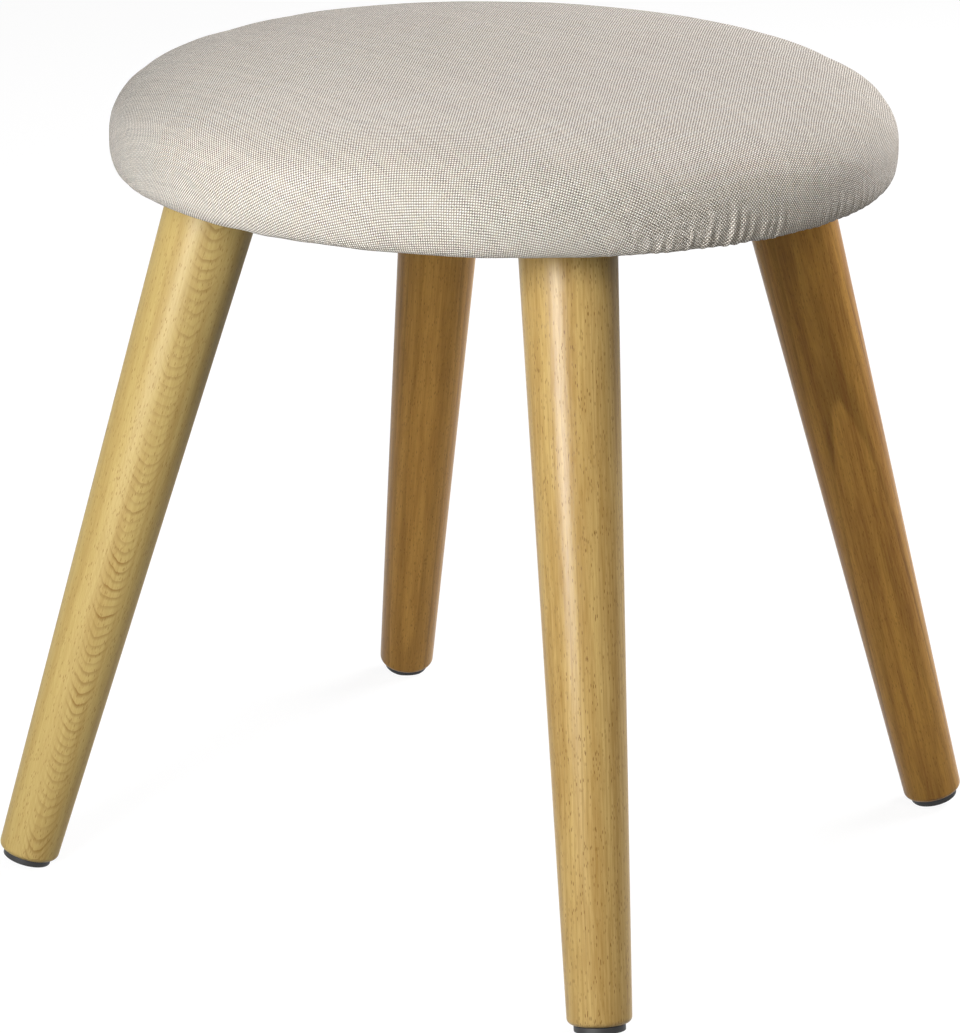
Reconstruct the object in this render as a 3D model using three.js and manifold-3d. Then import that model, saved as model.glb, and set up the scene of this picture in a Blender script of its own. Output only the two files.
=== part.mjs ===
// Vanity stool: a round upholstered seat on four splayed, tapered wooden legs.
// Millimetres, +Z up, -Y to the front. The origin is on the floor, under the
// middle of the seat. The four legs stand on the diagonals.

import * as THREE from 'three';
import { mergeVertices } from 'three/addons/utils/BufferGeometryUtils.js';
import Module from 'manifold-3d';

const wasm = await Module();
wasm.setup();
const { degToRad } = THREE.MathUtils;

// Shared clearances
const clearance = 0.3; // between two pieces that touch
const cutOverrun = 4; // how far a cutting shape runs past the face it cuts

// Seat outline
const seatHeight = 402; // floor to the top of the crown
const seatDiameter = 370; // at the widest line
const seatThickness = 60; // hem to the top of the crown
const crownRise = 12.8; // how much the top is fuller in the middle
const widestRise = 12.5; // the widest line, above the hem
const hemInset = 5.6; // the hem, in from the widest line
const shoulderReach = 92.8; // the rolled shoulder, in from the widest line
const shoulderPower = 2.94; // superellipse powers: 2 is an ellipse, more is squarer
const underRollPower = 2.35;

// Seat make-up, from the fabric inwards and downwards
const fabricThickness = 1;
const boardThickness = 15;
const dustCoverThickness = 0.6;
const dustCoverInset = 6.3; // the dust cover's edge, in from the hem
const dustCoverStepRun = 1.5; // where it steps down on to the turned-in fabric
const dustCoverHoleMargin = 1; // its bolt holes, wider than the board's

// Legs
const legSplay = degToRad(16.2); // from upright, straight outwards
const legTopDiameter = 44;
const legFootDiameter = 29.3;
const legTopChamfer = 1;
const footRounding = 3;
const cornerAngles = {
  front_left: degToRad(-135),
  front_right: degToRad(-45),
  rear_right: degToRad(45),
  rear_left: degToRad(135),
};

// Leg plates: pressed steel with a hollow boss square to the leg
const plateSetback = 17.6; // the hem, out from the plates' farthest corners
const plateThickness = 2;
const plateCornerRadius = 8;
const plateEdgeMargin = 7; // screw centre to plate edge
const plateInwardShift = 4; // plate centre, in from the top of the leg
const legRimClearance = 1.4; // plate to the high side of the leg's top
const bossFaceDiameter = 28;
const bossFlareShare = 0.556; // how much the boss widens for each unit of height
const boltHoleEase = 0.5; // bolt hole, wider than the bolt all round

// Plate screws: pan head, cross recess
const screwDiameter = 4;
const screwHeadDiameter = 8;
const screwHeadHeight = 2.4;
const screwHeadEdge = 0.9; // the upright rim of the head
const screwPointLength = 3;
const screwTipCover = 4.5; // board left above the point
const screwLegGap = 1; // screw head to the leg, seen from below
const screwHoleEase = 0.5;
const recessSpan = 4.4;
const recessWidth = 1.1;
const recessDepth = 1.4;
const screwSides = [[1, 1], [1, -1], [-1, -1], [-1, 1]];

// Captive nuts and hanger bolts
const nutAcrossFlats = 13;
const nutHeight = 6.5;
const boltDiameter = 8;
const boltProtrusion = 6; // past the nut
const boltTipChamfer = 1;
const woodThreadLength = 38;
const woodThreadRootDiameter = 5.8;
const woodThreadPlain = 3; // plain stretch above the wood thread
const woodThreadPoint = 4;
const woodThreadRidges = 8;
const boltReliefMargin = 3; // round the nut and bolt, in the board
const boltReliefHeadroom = 2; // above the bolt

// Glides and their nails
const glideInset = 3; // glide edge, in from the foot's
const glideWeb = 1.1; // plastic above the nail head
const glideEdgeRounding = 0.6;
const glideFlatDepth = 0.5; // worn flat on the floor at the inner edge
const nailHeadDiameter = 7;
const nailHeadThickness = 1.2;
const nailHeadRecess = 0.4;
const nailDiameter = 2;
const nailLength = 14;
const nailPoint = 2;

// Staples
const stapleCount = 16;
const stapleCrown = 10;
const stapleLegLength = 8;
const stapleWireWidth = 1.2;
const stapleWireThickness = 0.6;

// How finely the round shapes are faceted
const seatFacets = 40;
const shoulderSteps = 7;
const underRollSteps = 3;
const plateauRings = 2;
const legFacets = 24;
const roundingSteps = 3;
const bossFacets = 20;
const holeFacets = 8;
const boltFacets = 8;
const nutFacets = 6;
const headSteps = 2;
const plateCornerSteps = 3;

// Levels of the flat pieces, from the hem
const seatRadius = seatDiameter / 2;
const hemRadius = seatRadius - hemInset;
const hemHeight = seatHeight - seatThickness;
const widestHeight = hemHeight + widestRise;
const boardBottom = hemHeight + fabricThickness + clearance;
const boardTop = boardBottom + boardThickness;
const boardRadius = hemRadius - fabricThickness - clearance;
const dustCoverBottom = boardBottom - clearance - dustCoverThickness;
const dustCoverRimBottom = hemHeight - clearance - dustCoverThickness;
const plateTop = dustCoverBottom - clearance;
const plateBottom = plateTop - plateThickness;

// Where the plates, screws and legs go
const splaySine = Math.sin(legSplay);
const splayCosine = Math.cos(legSplay);
const legTopRadius = legTopDiameter / 2;
const footRadius = legFootDiameter / 2;
const screwHeadRadius = screwHeadDiameter / 2;
const screwReach = legTopRadius + screwHeadRadius + screwLegGap;
const screwOffset = (plateInwardShift + Math.sqrt(2 * screwReach ** 2 - plateInwardShift ** 2)) / 2;
const plateHalf = screwOffset + plateEdgeMargin;
const plateFarReach = hemRadius - plateSetback;
const plateFlat = plateHalf - plateCornerRadius;
const plateCentre = Math.sqrt((plateFarReach - plateCornerRadius) ** 2 - plateFlat ** 2) - plateFlat;
const legTopReach = plateCentre + plateInwardShift;
const legTopHeight = plateBottom - legRimClearance - legTopRadius * splaySine;

// The leg's own frame: origin at the middle of its top, +Z up along its axis
const legFrame = new THREE.Matrix4()
  .makeTranslation(legTopReach, 0, legTopHeight)
  .multiply(new THREE.Matrix4().makeRotationY(-legSplay));
const toLegFrame = legFrame.clone().invert();

// Along the leg's axis
const glideRadius = footRadius - glideInset;
const glideThickness = nailHeadRecess + nailHeadThickness + clearance + glideWeb;
const glideRoundingDrop = glideEdgeRounding * (splaySine + splayCosine - 1);
const glideLowEdge = legTopHeight - glideRadius * splaySine + glideRoundingDrop;
const glideBottom = -(glideLowEdge + glideFlatDepth) / splayCosine;
const glideTop = glideBottom + glideThickness;
const footEnd = glideTop + clearance;
const nailHeadBottom = glideBottom + nailHeadRecess;
const nailHeadTop = nailHeadBottom + nailHeadThickness;
const nailTip = nailHeadTop + nailLength;
const bossInside = clearance + plateThickness;
const nutBottom = bossInside + clearance;
const nutTop = nutBottom + nutHeight;
const boltTip = nutTop + boltProtrusion;
const boltRadius = boltDiameter / 2;
const nutCornerRadius = nutAcrossFlats / 2 / Math.cos(Math.PI / nutFacets);

// The turned-in fabric ends where the dust cover steps down past the plates
const dustCoverFlat = plateFarReach + clearance;
const dustCoverDrop = dustCoverBottom - dustCoverRimBottom;
const dustCoverMitre = dustCoverThickness * Math.tan(Math.atan2(dustCoverDrop, dustCoverStepRun) / 2);
const hemInner = dustCoverFlat + dustCoverStepRun + dustCoverMitre + clearance;
const dustCoverRadius = hemRadius - dustCoverInset;
const stapleRing = (hemInner + dustCoverRadius) / 2;
const stapleBottom = dustCoverRimBottom - clearance - stapleWireThickness;
const stapleTip = stapleBottom + stapleLegLength;
const stapleStep = (2 * Math.PI) / stapleCount;
const stapleAngles = Array.from({ length: stapleCount }, (_, i) => stapleStep * (i + 0.5));

// The relief in the board holds the top of the nut and the bolt's end
const boltTipInner = legTopReach - boltTip * splaySine - boltRadius * splayCosine;
const nutTopOuter = legTopReach - nutTop * splaySine + nutCornerRadius * splayCosine;
const reliefCentre = (boltTipInner + nutTopOuter) / 2;
const reliefRadius = Math.max(nutTopOuter - reliefCentre, nutCornerRadius) + boltReliefMargin;
const boltTipHeight = legTopHeight + boltTip * splayCosine + boltRadius * splaySine;
const reliefTop = boltTipHeight + boltReliefHeadroom;

// The screws run up from the plates into the board
const screwSeat = plateBottom - clearance;
const screwTip = boardTop - screwTipCover;
const pilotRadius = screwDiameter / 2 + clearance;

const materials = {
  fabric: new THREE.MeshStandardMaterial({ color: 0xcdc3b7, roughness: 0.95, metalness: 0 }),
  foam: new THREE.MeshStandardMaterial({ color: 0xe8dcae, roughness: 0.9, metalness: 0 }),
  plywood: new THREE.MeshStandardMaterial({ color: 0xc9a676, roughness: 0.75, metalness: 0 }),
  dustCloth: new THREE.MeshStandardMaterial({ color: 0x1c1b1a, roughness: 0.95, metalness: 0 }),
  beech: new THREE.MeshStandardMaterial({ color: 0xc69a5c, roughness: 0.45, metalness: 0 }),
  zincSteel: new THREE.MeshStandardMaterial({ color: 0xb9bcbe, roughness: 0.35, metalness: 1 }),
  glidePlastic: new THREE.MeshStandardMaterial({ color: 0x141414, roughness: 0.6, metalness: 0 }),
};

// Profiles are lists of (radius, height) points, turned about the upright axis
function point(radius, height) {
  return new THREE.Vector2(radius, height);
}

function arc(centre, radius, fromAngle, toAngle, steps) {
  return Array.from({ length: steps + 1 }, (_, step) => {
    const angle = THREE.MathUtils.lerp(fromAngle, toAngle, step / steps);
    return point(centre.x + radius * Math.cos(angle), centre.y + radius * Math.sin(angle));
  });
}

function turned(profile, facets) {
  const anticlockwise = THREE.ShapeUtils.isClockWise(profile) ? [...profile].reverse() : profile;
  return new THREE.LatheGeometry(anticlockwise, facets).rotateX(Math.PI / 2);
}

function rod(radius, bottom, top, facets) {
  return turned([point(0, bottom), point(radius, bottom), point(radius, top), point(0, top)], facets);
}

// Joins and cuts
function toSolid(geometry) {
  const bare = geometry.clone();
  bare.deleteAttribute('normal');
  bare.deleteAttribute('uv');
  const welded = mergeVertices(bare);
  const index = welded.index.array;
  const triVerts = [];
  for (let i = 0; i < index.length; i += 3) {
    const [a, b, c] = index.slice(i, i + 3);
    if (a !== b && b !== c && c !== a) triVerts.push(a, b, c);
  }
  const vertProperties = welded.attributes.position.array;
  const mesh = new wasm.Mesh({ numProp: 3, vertProperties, triVerts: Uint32Array.from(triVerts) });
  return new wasm.Manifold(mesh);
}

function toGeometry(solid) {
  const mesh = solid.getMesh();
  const geometry = new THREE.BufferGeometry();
  geometry.setAttribute('position', new THREE.BufferAttribute(mesh.vertProperties, 3));
  geometry.setIndex(new THREE.BufferAttribute(mesh.triVerts, 1));
  geometry.computeVertexNormals();
  return geometry;
}

function cut(geometry, cutters) {
  const solid = cutters.reduce((rest, cutter) => rest.subtract(toSolid(cutter)), toSolid(geometry));
  return toGeometry(solid);
}

// Copies round the seat, one at each angle
function roundTheSeat(geometry, angles) {
  return angles.map((angle) => geometry.clone().rotateZ(angle));
}

// Cutting shapes that more than one piece shares, in the frame of one corner
function screwHoles(radius, bottom, top) {
  return screwSides.map(([outward, sideways]) => {
    const hole = rod(radius, bottom, top, holeFacets);
    return hole.translate(plateCentre + outward * screwOffset, sideways * screwOffset, 0);
  });
}

function stapleSlots(bottom, top) {
  const wide = stapleWireWidth + 2 * clearance;
  const long = stapleCrown + 2 * clearance;
  const slot = new THREE.BoxGeometry(wide, long, top - bottom);
  slot.translate(stapleRing, 0, (top + bottom) / 2);
  return roundTheSeat(slot, stapleAngles);
}

// The seat's outline, from the middle of the crown over the shoulder to the hem
function seatOutline() {
  const crownAt = (radius) => crownRise * (1 - (radius / seatRadius) ** 2);
  const shoulderHeight = seatThickness - widestRise - crownRise;
  const plateauRadius = seatRadius - shoulderReach;
  const plateau = Array.from({ length: plateauRings }, (_, ring) => {
    const radius = plateauRadius * (ring / plateauRings);
    return point(radius, widestHeight + shoulderHeight + crownAt(radius));
  });
  const shoulder = Array.from({ length: shoulderSteps + 1 }, (_, step) => {
    const angle = (Math.PI / 2) * (1 - step / shoulderSteps);
    const radius = plateauRadius + shoulderReach * Math.cos(angle) ** (2 / shoulderPower);
    const rise = shoulderHeight * Math.sin(angle) ** (2 / shoulderPower);
    return point(radius, widestHeight + rise + crownAt(radius));
  });
  const underRoll = Array.from({ length: underRollSteps }, (_, step) => {
    const angle = (Math.PI / 2) * ((step + 1) / underRollSteps);
    const radius = hemRadius + hemInset * Math.cos(angle) ** (2 / underRollPower);
    return point(radius, widestHeight - widestRise * Math.sin(angle) ** (2 / underRollPower));
  });
  return [...plateau, ...shoulder, ...underRoll];
}

// The same outline moved inwards, square to each of its stretches
function inset(outline, distance) {
  return outline.map((corner, i) => {
    const before = i > 0 ? outline[i - 1] : point(-outline[1].x, outline[1].y);
    const after = i < outline.length - 1 ? outline[i + 1] : corner;
    const inwards = [corner.clone().sub(before), after.clone().sub(corner)]
      .filter((stretch) => stretch.length() > 0)
      .map((stretch) => point(stretch.y, -stretch.x).normalize());
    const mitre = inwards.reduce((sum, normal) => sum.add(normal), point(0, 0)).normalize();
    return corner.clone().addScaledVector(mitre, distance / mitre.dot(inwards[inwards.length - 1]));
  });
}

function seatCover() {
  const outside = [...seatOutline(), point(hemInner, hemHeight)];
  const inside = inset(outside, fabricThickness);
  const shell = turned([...outside, ...inside.reverse()], seatFacets);
  return cut(shell, stapleSlots(hemHeight - cutOverrun, hemHeight + cutOverrun));
}

function foamPad() {
  const outside = inset([...seatOutline(), point(hemInner, hemHeight)], fabricThickness + clearance);
  outside.pop();
  const lip = boardRadius + clearance;
  const overBoard = boardTop + clearance;
  const inside = [point(lip, boardBottom), point(lip, overBoard), point(0, overBoard)];
  return turned([...outside, ...inside], seatFacets);
}

function seatBoard() {
  const relief = rod(reliefRadius, boardBottom - cutOverrun, reliefTop, holeFacets * 2);
  const pilots = screwHoles(pilotRadius, boardBottom - cutOverrun, screwTip + clearance);
  const holes = [relief.translate(reliefCentre, 0, 0), ...pilots];
  return cut(rod(boardRadius, boardBottom, boardTop, seatFacets), [
    ...holes.flatMap((hole) => roundTheSeat(hole, Object.values(cornerAngles))),
    ...stapleSlots(boardBottom - cutOverrun, stapleTip + clearance),
  ]);
}

function dustCover() {
  const rimTop = dustCoverRimBottom + dustCoverThickness;
  const stepFoot = dustCoverFlat + dustCoverStepRun;
  const top = dustCoverBottom + dustCoverThickness;
  const cloth = turned([
    point(0, dustCoverBottom),
    point(dustCoverFlat, dustCoverBottom),
    point(stepFoot, dustCoverRimBottom),
    point(dustCoverRadius, dustCoverRimBottom),
    point(dustCoverRadius, rimTop),
    point(stepFoot + dustCoverMitre, rimTop),
    point(dustCoverFlat + dustCoverMitre, top),
    point(0, top),
  ], seatFacets);
  const [low, high] = [dustCoverRimBottom - cutOverrun, top + cutOverrun];
  const boltHole = rod(reliefRadius + dustCoverHoleMargin, low, high, holeFacets * 2);
  const holes = [boltHole.translate(reliefCentre, 0, 0), ...screwHoles(pilotRadius, low, high)];
  return cut(cloth, [
    ...holes.flatMap((hole) => roundTheSeat(hole, Object.values(cornerAngles))),
    ...stapleSlots(low, high),
  ]);
}

// A plate lies flat in its corner; its boss is square to the leg below it
function legPlate() {
  const outline = new THREE.Shape();
  for (let quarter = 0; quarter < 4; quarter += 1) {
    const turn = (Math.PI / 2) * quarter;
    const x = plateFlat * Math.sign(Math.cos(turn + Math.PI / 4));
    const y = plateFlat * Math.sign(Math.sin(turn + Math.PI / 4));
    outline.absarc(x, y, plateCornerRadius, turn, turn + Math.PI / 2);
  }
  const flat = new THREE.ExtrudeGeometry(outline, {
    depth: plateThickness,
    bevelEnabled: false,
    curveSegments: plateCornerSteps,
  });
  flat.translate(plateCentre, 0, plateBottom);

  const faceRadius = bossFaceDiameter / 2;
  const wallAcross = plateThickness * Math.hypot(1, bossFlareShare);
  const boss = bossCone(faceRadius, clearance);
  const hollow = bossCone(faceRadius + plateThickness * bossFlareShare - wallAcross, bossInside);
  const above = new THREE.BoxGeometry(4 * plateHalf, 4 * plateHalf, 2 * plateHalf);
  above.translate(plateCentre, 0, plateTop + plateHalf);
  const boltHole = rod(boltRadius + boltHoleEase, -cutOverrun, bossInside + cutOverrun, bossFacets);
  const screwHoleRadius = screwDiameter / 2 + screwHoleEase;
  const whole = toSolid(boss).subtract(toSolid(above)).add(toSolid(flat));
  return cut(toGeometry(whole), [
    hollow,
    boltHole.applyMatrix4(legFrame),
    ...screwHoles(screwHoleRadius, plateBottom - cutOverrun, plateTop + cutOverrun),
  ]);
}

// The cone widens upwards from the boss's face and runs on past the plate
function bossCone(radiusAtFace, face) {
  const top = face + plateHalf;
  const radiusAtTop = radiusAtFace + plateHalf * bossFlareShare;
  const profile = [point(0, face), point(radiusAtFace, face), point(radiusAtTop, top), point(0, top)];
  return turned(profile, bossFacets).applyMatrix4(legFrame);
}

// Pieces along the leg's axis, in the leg's own frame
function captiveNut() {
  const nut = rod(nutCornerRadius, nutBottom, nutTop, nutFacets);
  const bore = rod(boltRadius + clearance, nutBottom - cutOverrun, nutTop + cutOverrun, boltFacets * 2);
  return cut(nut, [bore]);
}

function hangerBolt() {
  const rootRadius = woodThreadRootDiameter / 2;
  const threadTop = -woodThreadPlain;
  const pointTop = woodThreadPoint - woodThreadLength;
  const pitch = (threadTop - pointTop) / woodThreadRidges;
  const ridges = Array.from({ length: woodThreadRidges }, (_, i) => [
    point(rootRadius, threadTop - pitch * i),
    point(boltRadius, threadTop - pitch * (i + 0.5)),
  ]).flat();
  return turned([
    point(0, boltTip),
    point(boltRadius - boltTipChamfer, boltTip),
    point(boltRadius, boltTip - boltTipChamfer),
    point(boltRadius, threadTop),
    ...ridges,
    point(rootRadius, pointTop),
    point(0, -woodThreadLength),
  ], boltFacets);
}

function leg() {
  const boltBore = boltRadius + clearance;
  const boltBoreEnd = -woodThreadLength - clearance;
  const nailBore = nailDiameter / 2 + clearance;
  const nailBoreEnd = nailTip + clearance;
  const roundingCentre = point(footRadius - footRounding, footEnd + footRounding);
  return turned([
    point(0, boltBoreEnd),
    point(boltBore, boltBoreEnd),
    point(boltBore, 0),
    point(legTopRadius - legTopChamfer, 0),
    point(legTopRadius, -legTopChamfer),
    ...arc(roundingCentre, footRounding, 0, -Math.PI / 2, roundingSteps),
    point(nailBore, footEnd),
    point(nailBore, nailBoreEnd),
    point(0, nailBoreEnd),
  ], legFacets);
}

function glide() {
  const hole = nailDiameter / 2 + clearance;
  const pocket = nailHeadDiameter / 2 + clearance;
  const pocketTop = nailHeadTop + clearance;
  const roundingCentre = point(glideRadius - glideEdgeRounding, glideBottom + glideEdgeRounding);
  const disc = turned([
    point(hole, glideTop),
    point(glideRadius, glideTop),
    ...arc(roundingCentre, glideEdgeRounding, 0, -Math.PI / 2, roundingSteps),
    point(pocket, glideBottom),
    point(pocket, pocketTop),
    point(hole, pocketTop),
    point(hole, glideTop),
  ], legFacets);
  const floor = new THREE.BoxGeometry(legFootDiameter, legFootDiameter, cutOverrun);
  floor.translate(legTopReach - glideBottom * splaySine, 0, -cutOverrun / 2);
  return cut(disc, [floor.applyMatrix4(toLegFrame)]);
}

function glideNail() {
  const shank = nailDiameter / 2;
  const head = nailHeadDiameter / 2;
  return turned([
    point(0, nailHeadBottom),
    point(head, nailHeadBottom),
    point(head, nailHeadTop),
    point(shank, nailHeadTop),
    point(shank, nailTip - nailPoint),
    point(0, nailTip),
  ], holeFacets);
}

function plateScrew() {
  const shank = screwDiameter / 2;
  const dome = screwHeadHeight - screwHeadEdge;
  const domed = Array.from({ length: headSteps + 1 }, (_, step) => {
    const angle = (Math.PI / 2) * (step / headSteps);
    return point(screwHeadRadius * Math.cos(angle), screwSeat - screwHeadEdge - dome * Math.sin(angle));
  });
  const screw = turned([
    point(0, screwTip),
    point(shank, screwTip - screwPointLength),
    point(shank, screwSeat),
    point(screwHeadRadius, screwSeat),
    ...domed,
  ], holeFacets);
  const recessTop = screwSeat - screwHeadHeight + recessDepth;
  const bars = [[recessSpan, recessWidth], [recessWidth, recessSpan]].map(([long, wide]) => {
    const bar = new THREE.BoxGeometry(long, wide, recessDepth + cutOverrun);
    return bar.translate(0, 0, recessTop - (recessDepth + cutOverrun) / 2);
  });
  return cut(screw, bars);
}

function staple() {
  const half = stapleCrown / 2;
  const outline = new THREE.Shape([
    point(-half, 0),
    point(half, 0),
    point(half, stapleLegLength),
    point(half - stapleWireThickness, stapleLegLength),
    point(half - stapleWireThickness, stapleWireThickness),
    point(stapleWireThickness - half, stapleWireThickness),
    point(stapleWireThickness - half, stapleLegLength),
    point(-half, stapleLegLength),
  ]);
  const wire = new THREE.ExtrudeGeometry(outline, { depth: stapleWireWidth, bevelEnabled: false });
  const outwards = new THREE.Vector3(1, 0, 0);
  const sideways = new THREE.Vector3(0, 1, 0);
  const upwards = new THREE.Vector3(0, 0, 1);
  wire.translate(0, 0, -stapleWireWidth / 2);
  return wire.applyMatrix4(new THREE.Matrix4().makeBasis(sideways, upwards, outwards));
}

// Assembly
function piece(name, geometry, material) {
  const mesh = new THREE.Mesh(geometry, material);
  mesh.name = name;
  return mesh;
}

const stool = new THREE.Group();
stool.add(
  piece('seat_cover', seatCover(), materials.fabric),
  piece('foam_pad', foamPad(), materials.foam),
  piece('seat_board', seatBoard(), materials.plywood),
  piece('dust_cover', dustCover(), materials.dustCloth),
);

const shapes = {
  plate: legPlate(),
  screw: plateScrew(),
  nut: captiveNut(),
  bolt: hangerBolt(),
  leg: leg(),
  glide: glide(),
  nail: glideNail(),
  staple: staple(),
};

for (const [corner, angle] of Object.entries(cornerAngles)) {
  const station = new THREE.Group();
  station.rotation.z = angle;
  station.add(piece(`leg_plate_${corner}`, shapes.plate, materials.zincSteel));
  screwSides.forEach(([outward, sideways], i) => {
    const screw = piece(`plate_screw_${corner}_${i + 1}`, shapes.screw, materials.zincSteel);
    screw.position.set(plateCentre + outward * screwOffset, sideways * screwOffset, 0);
    station.add(screw);
  });

  const splayed = new THREE.Group();
  splayed.position.set(legTopReach, 0, legTopHeight);
  splayed.rotation.y = -legSplay;
  splayed.add(
    piece(`plate_nut_${corner}`, shapes.nut, materials.zincSteel),
    piece(`hanger_bolt_${corner}`, shapes.bolt, materials.zincSteel),
    piece(`leg_${corner}`, shapes.leg, materials.beech),
    piece(`glide_${corner}`, shapes.glide, materials.glidePlastic),
    piece(`glide_nail_${corner}`, shapes.nail, materials.zincSteel),
  );
  station.add(splayed);
  stool.add(station);
}

stapleAngles.forEach((angle, i) => {
  const station = new THREE.Group();
  station.rotation.z = angle;
  const number = String(i + 1).padStart(2, '0');
  const wire = piece(`dust_cover_staple_${number}`, shapes.staple, materials.zincSteel);
  wire.position.set(stapleRing, 0, stapleBottom);
  station.add(wire);
  stool.add(station);
});

export default stool;
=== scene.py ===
# %% [markdown]
# # A round vanity stool, dressed in cloth and wood
# The stool is a padded round seat on four splayed, turned legs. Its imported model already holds
# every piece at its real size and place, so nothing is moved here. This lesson makes the surfaces
# that a visitor sees: cloth pulled over foam, lacquered beech, plastic glides and the plain steel
# parts under the seat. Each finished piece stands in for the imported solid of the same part.

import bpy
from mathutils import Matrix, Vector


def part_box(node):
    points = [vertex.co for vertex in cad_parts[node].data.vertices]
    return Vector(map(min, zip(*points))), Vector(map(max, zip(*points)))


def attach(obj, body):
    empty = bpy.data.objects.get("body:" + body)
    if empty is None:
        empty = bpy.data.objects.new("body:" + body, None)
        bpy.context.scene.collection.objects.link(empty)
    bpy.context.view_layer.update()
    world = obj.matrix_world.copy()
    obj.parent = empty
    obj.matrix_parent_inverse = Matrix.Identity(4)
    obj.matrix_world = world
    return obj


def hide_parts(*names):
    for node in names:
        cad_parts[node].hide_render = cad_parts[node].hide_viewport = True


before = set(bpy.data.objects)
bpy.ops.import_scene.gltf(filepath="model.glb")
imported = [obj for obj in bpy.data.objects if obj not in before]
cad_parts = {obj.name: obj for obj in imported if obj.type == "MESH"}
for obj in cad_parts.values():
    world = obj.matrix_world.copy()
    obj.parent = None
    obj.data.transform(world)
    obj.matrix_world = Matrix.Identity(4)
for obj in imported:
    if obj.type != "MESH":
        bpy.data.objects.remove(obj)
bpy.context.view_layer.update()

# %% [markdown]
# ## Tools for the whole lesson
# Everything is in metres, and a millimetre has its own name because most sizes on a stool are
# small. The four legs stand on the diagonals, and every part that a leg has is named after its
# corner.

# %% Imports and shared names
import math
import random
from bisect import bisect_right

import bmesh
import bpy
from mathutils import Matrix, Vector, noise

MM = 0.001
FULL_TURN = 2 * math.pi
CORNERS = ("front_left", "front_right", "rear_right", "rear_left")
UP = Vector((0, 0, 1))


def placed(name, data):
    """A new object at the origin, linked into the scene."""
    made = bpy.data.objects.new(name, data)
    bpy.context.scene.collection.objects.link(made)
    return made


def mesh_of(shape, name):
    """A mesh made from a bmesh, which isn't needed after that."""
    mesh = bpy.data.meshes.new(name)
    shape.to_mesh(mesh)
    shape.free()
    return mesh


print("corners:", ", ".join(CORNERS))

# %% [markdown]
# ## The camera
# The photograph was taken from a little above the seat with a long lens, which keeps the legs
# nearly parallel. The camera looks at a point on the stool's middle line from the same side, and a
# small roll about its own axis levels the seat as the photograph has it.

# %% Set up the camera
CAMERA_TARGET = Vector((-7.0 * MM, -4.54 * MM, 165.89 * MM))
CAMERA_DISTANCE = 1798.65 * MM
CAMERA_AZIMUTH = math.radians(32.97)
CAMERA_ELEVATION = math.radians(18.411)
CAMERA_ROLL = math.radians(0.9275)
CAMERA_LENS = 128.63  # millimetres of focal length on a 36 mm sensor


def direction(azimuth, elevation):
    """Towards the viewer: azimuth 0 is the front and 90 degrees the right."""
    level = math.cos(elevation)
    return Vector((math.sin(azimuth) * level, -math.cos(azimuth) * level, math.sin(elevation)))


towards_camera = direction(CAMERA_AZIMUTH, CAMERA_ELEVATION)
camera = placed("camera", bpy.data.cameras.new("camera"))
camera.data.lens = CAMERA_LENS
facing = towards_camera.to_track_quat("Z", "Y").to_matrix()
rolled = facing @ Matrix.Rotation(CAMERA_ROLL, 3, "Z")
camera.matrix_world = Matrix.LocRotScale(
    CAMERA_TARGET + towards_camera * CAMERA_DISTANCE, rolled.to_quaternion(), None)
bpy.context.scene.camera = camera
bpy.context.scene.view_settings.view_transform = "Standard"
print("camera at", [round(place, 3) for place in camera.matrix_world.translation])

# %% [markdown]
# ## Material helpers
# A material is a tree of nodes. One helper adds a node, sets its options and either links or sets
# each input, so that the recipes below read from top to bottom. The others make sums, products,
# blends and noise, which are most of any procedural pattern.

# %% Node helpers


def node(tree, kind, inputs=(), **options):
    """Adds a node. An input that is a socket is linked, and anything else is set."""
    made = tree.nodes.new(kind)
    for option, value in options.items():
        setattr(made, option, value)
    for socket, value in dict(inputs).items():
        if isinstance(value, bpy.types.NodeSocket):
            tree.links.new(value, made.inputs[socket])
        else:
            made.inputs[socket].default_value = value
    return made


def maths(tree, operation, *values):
    return node(tree, "ShaderNodeMath", enumerate(values), operation=operation).outputs[0]


def times(tree, first, *others):
    """The product of all the values."""
    for other in others:
        first = maths(tree, "MULTIPLY", first, other)
    return first


def plus(tree, first, *others):
    """The sum of all the values."""
    for other in others:
        first = maths(tree, "ADD", first, other)
    return first


def minus(tree, first, second):
    return maths(tree, "SUBTRACT", first, second)


def blend(tree, share, first, second):
    """One colour going over to another."""
    inputs = {0: share, 6: first, 7: second}
    return node(tree, "ShaderNodeMix", inputs, data_type="RGBA").outputs[2]


def ramp(tree, value, low, high, to_low=0.0, to_high=1.0):
    """A smooth step from one value to another."""
    inputs = {"Value": value, "From Min": low, "From Max": high, "To Min": to_low, "To Max": to_high}
    return node(tree, "ShaderNodeMapRange", inputs, interpolation_type="SMOOTHSTEP").outputs[0]


def vector_maths(tree, operation, *values):
    return node(tree, "ShaderNodeVectorMath", enumerate(values), operation=operation).outputs


def stretched(tree, vector, across, along):
    """Coordinates that run at one rate across a piece and another along it."""
    return vector_maths(tree, "MULTIPLY", vector, (across, across, along))[0]


def parts_of(tree, vector):
    """A vector's three numbers."""
    return node(tree, "ShaderNodeSeparateXYZ", {0: vector}).outputs


def clouds(tree, place, scale=1.0, detail=3.0, distortion=0.0):
    """Soft noise about a half. The scale is about how many blotches a metre holds."""
    inputs = {"Vector": place, "Scale": scale, "Detail": detail, "Distortion": distortion}
    return node(tree, "ShaderNodeTexNoise", inputs).outputs["Fac"]


def random_of(tree, number):
    """A random value for each whole number."""
    inputs = {"W": number}
    return node(tree, "ShaderNodeTexWhiteNoise", inputs, noise_dimensions="1D").outputs["Value"]


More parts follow.
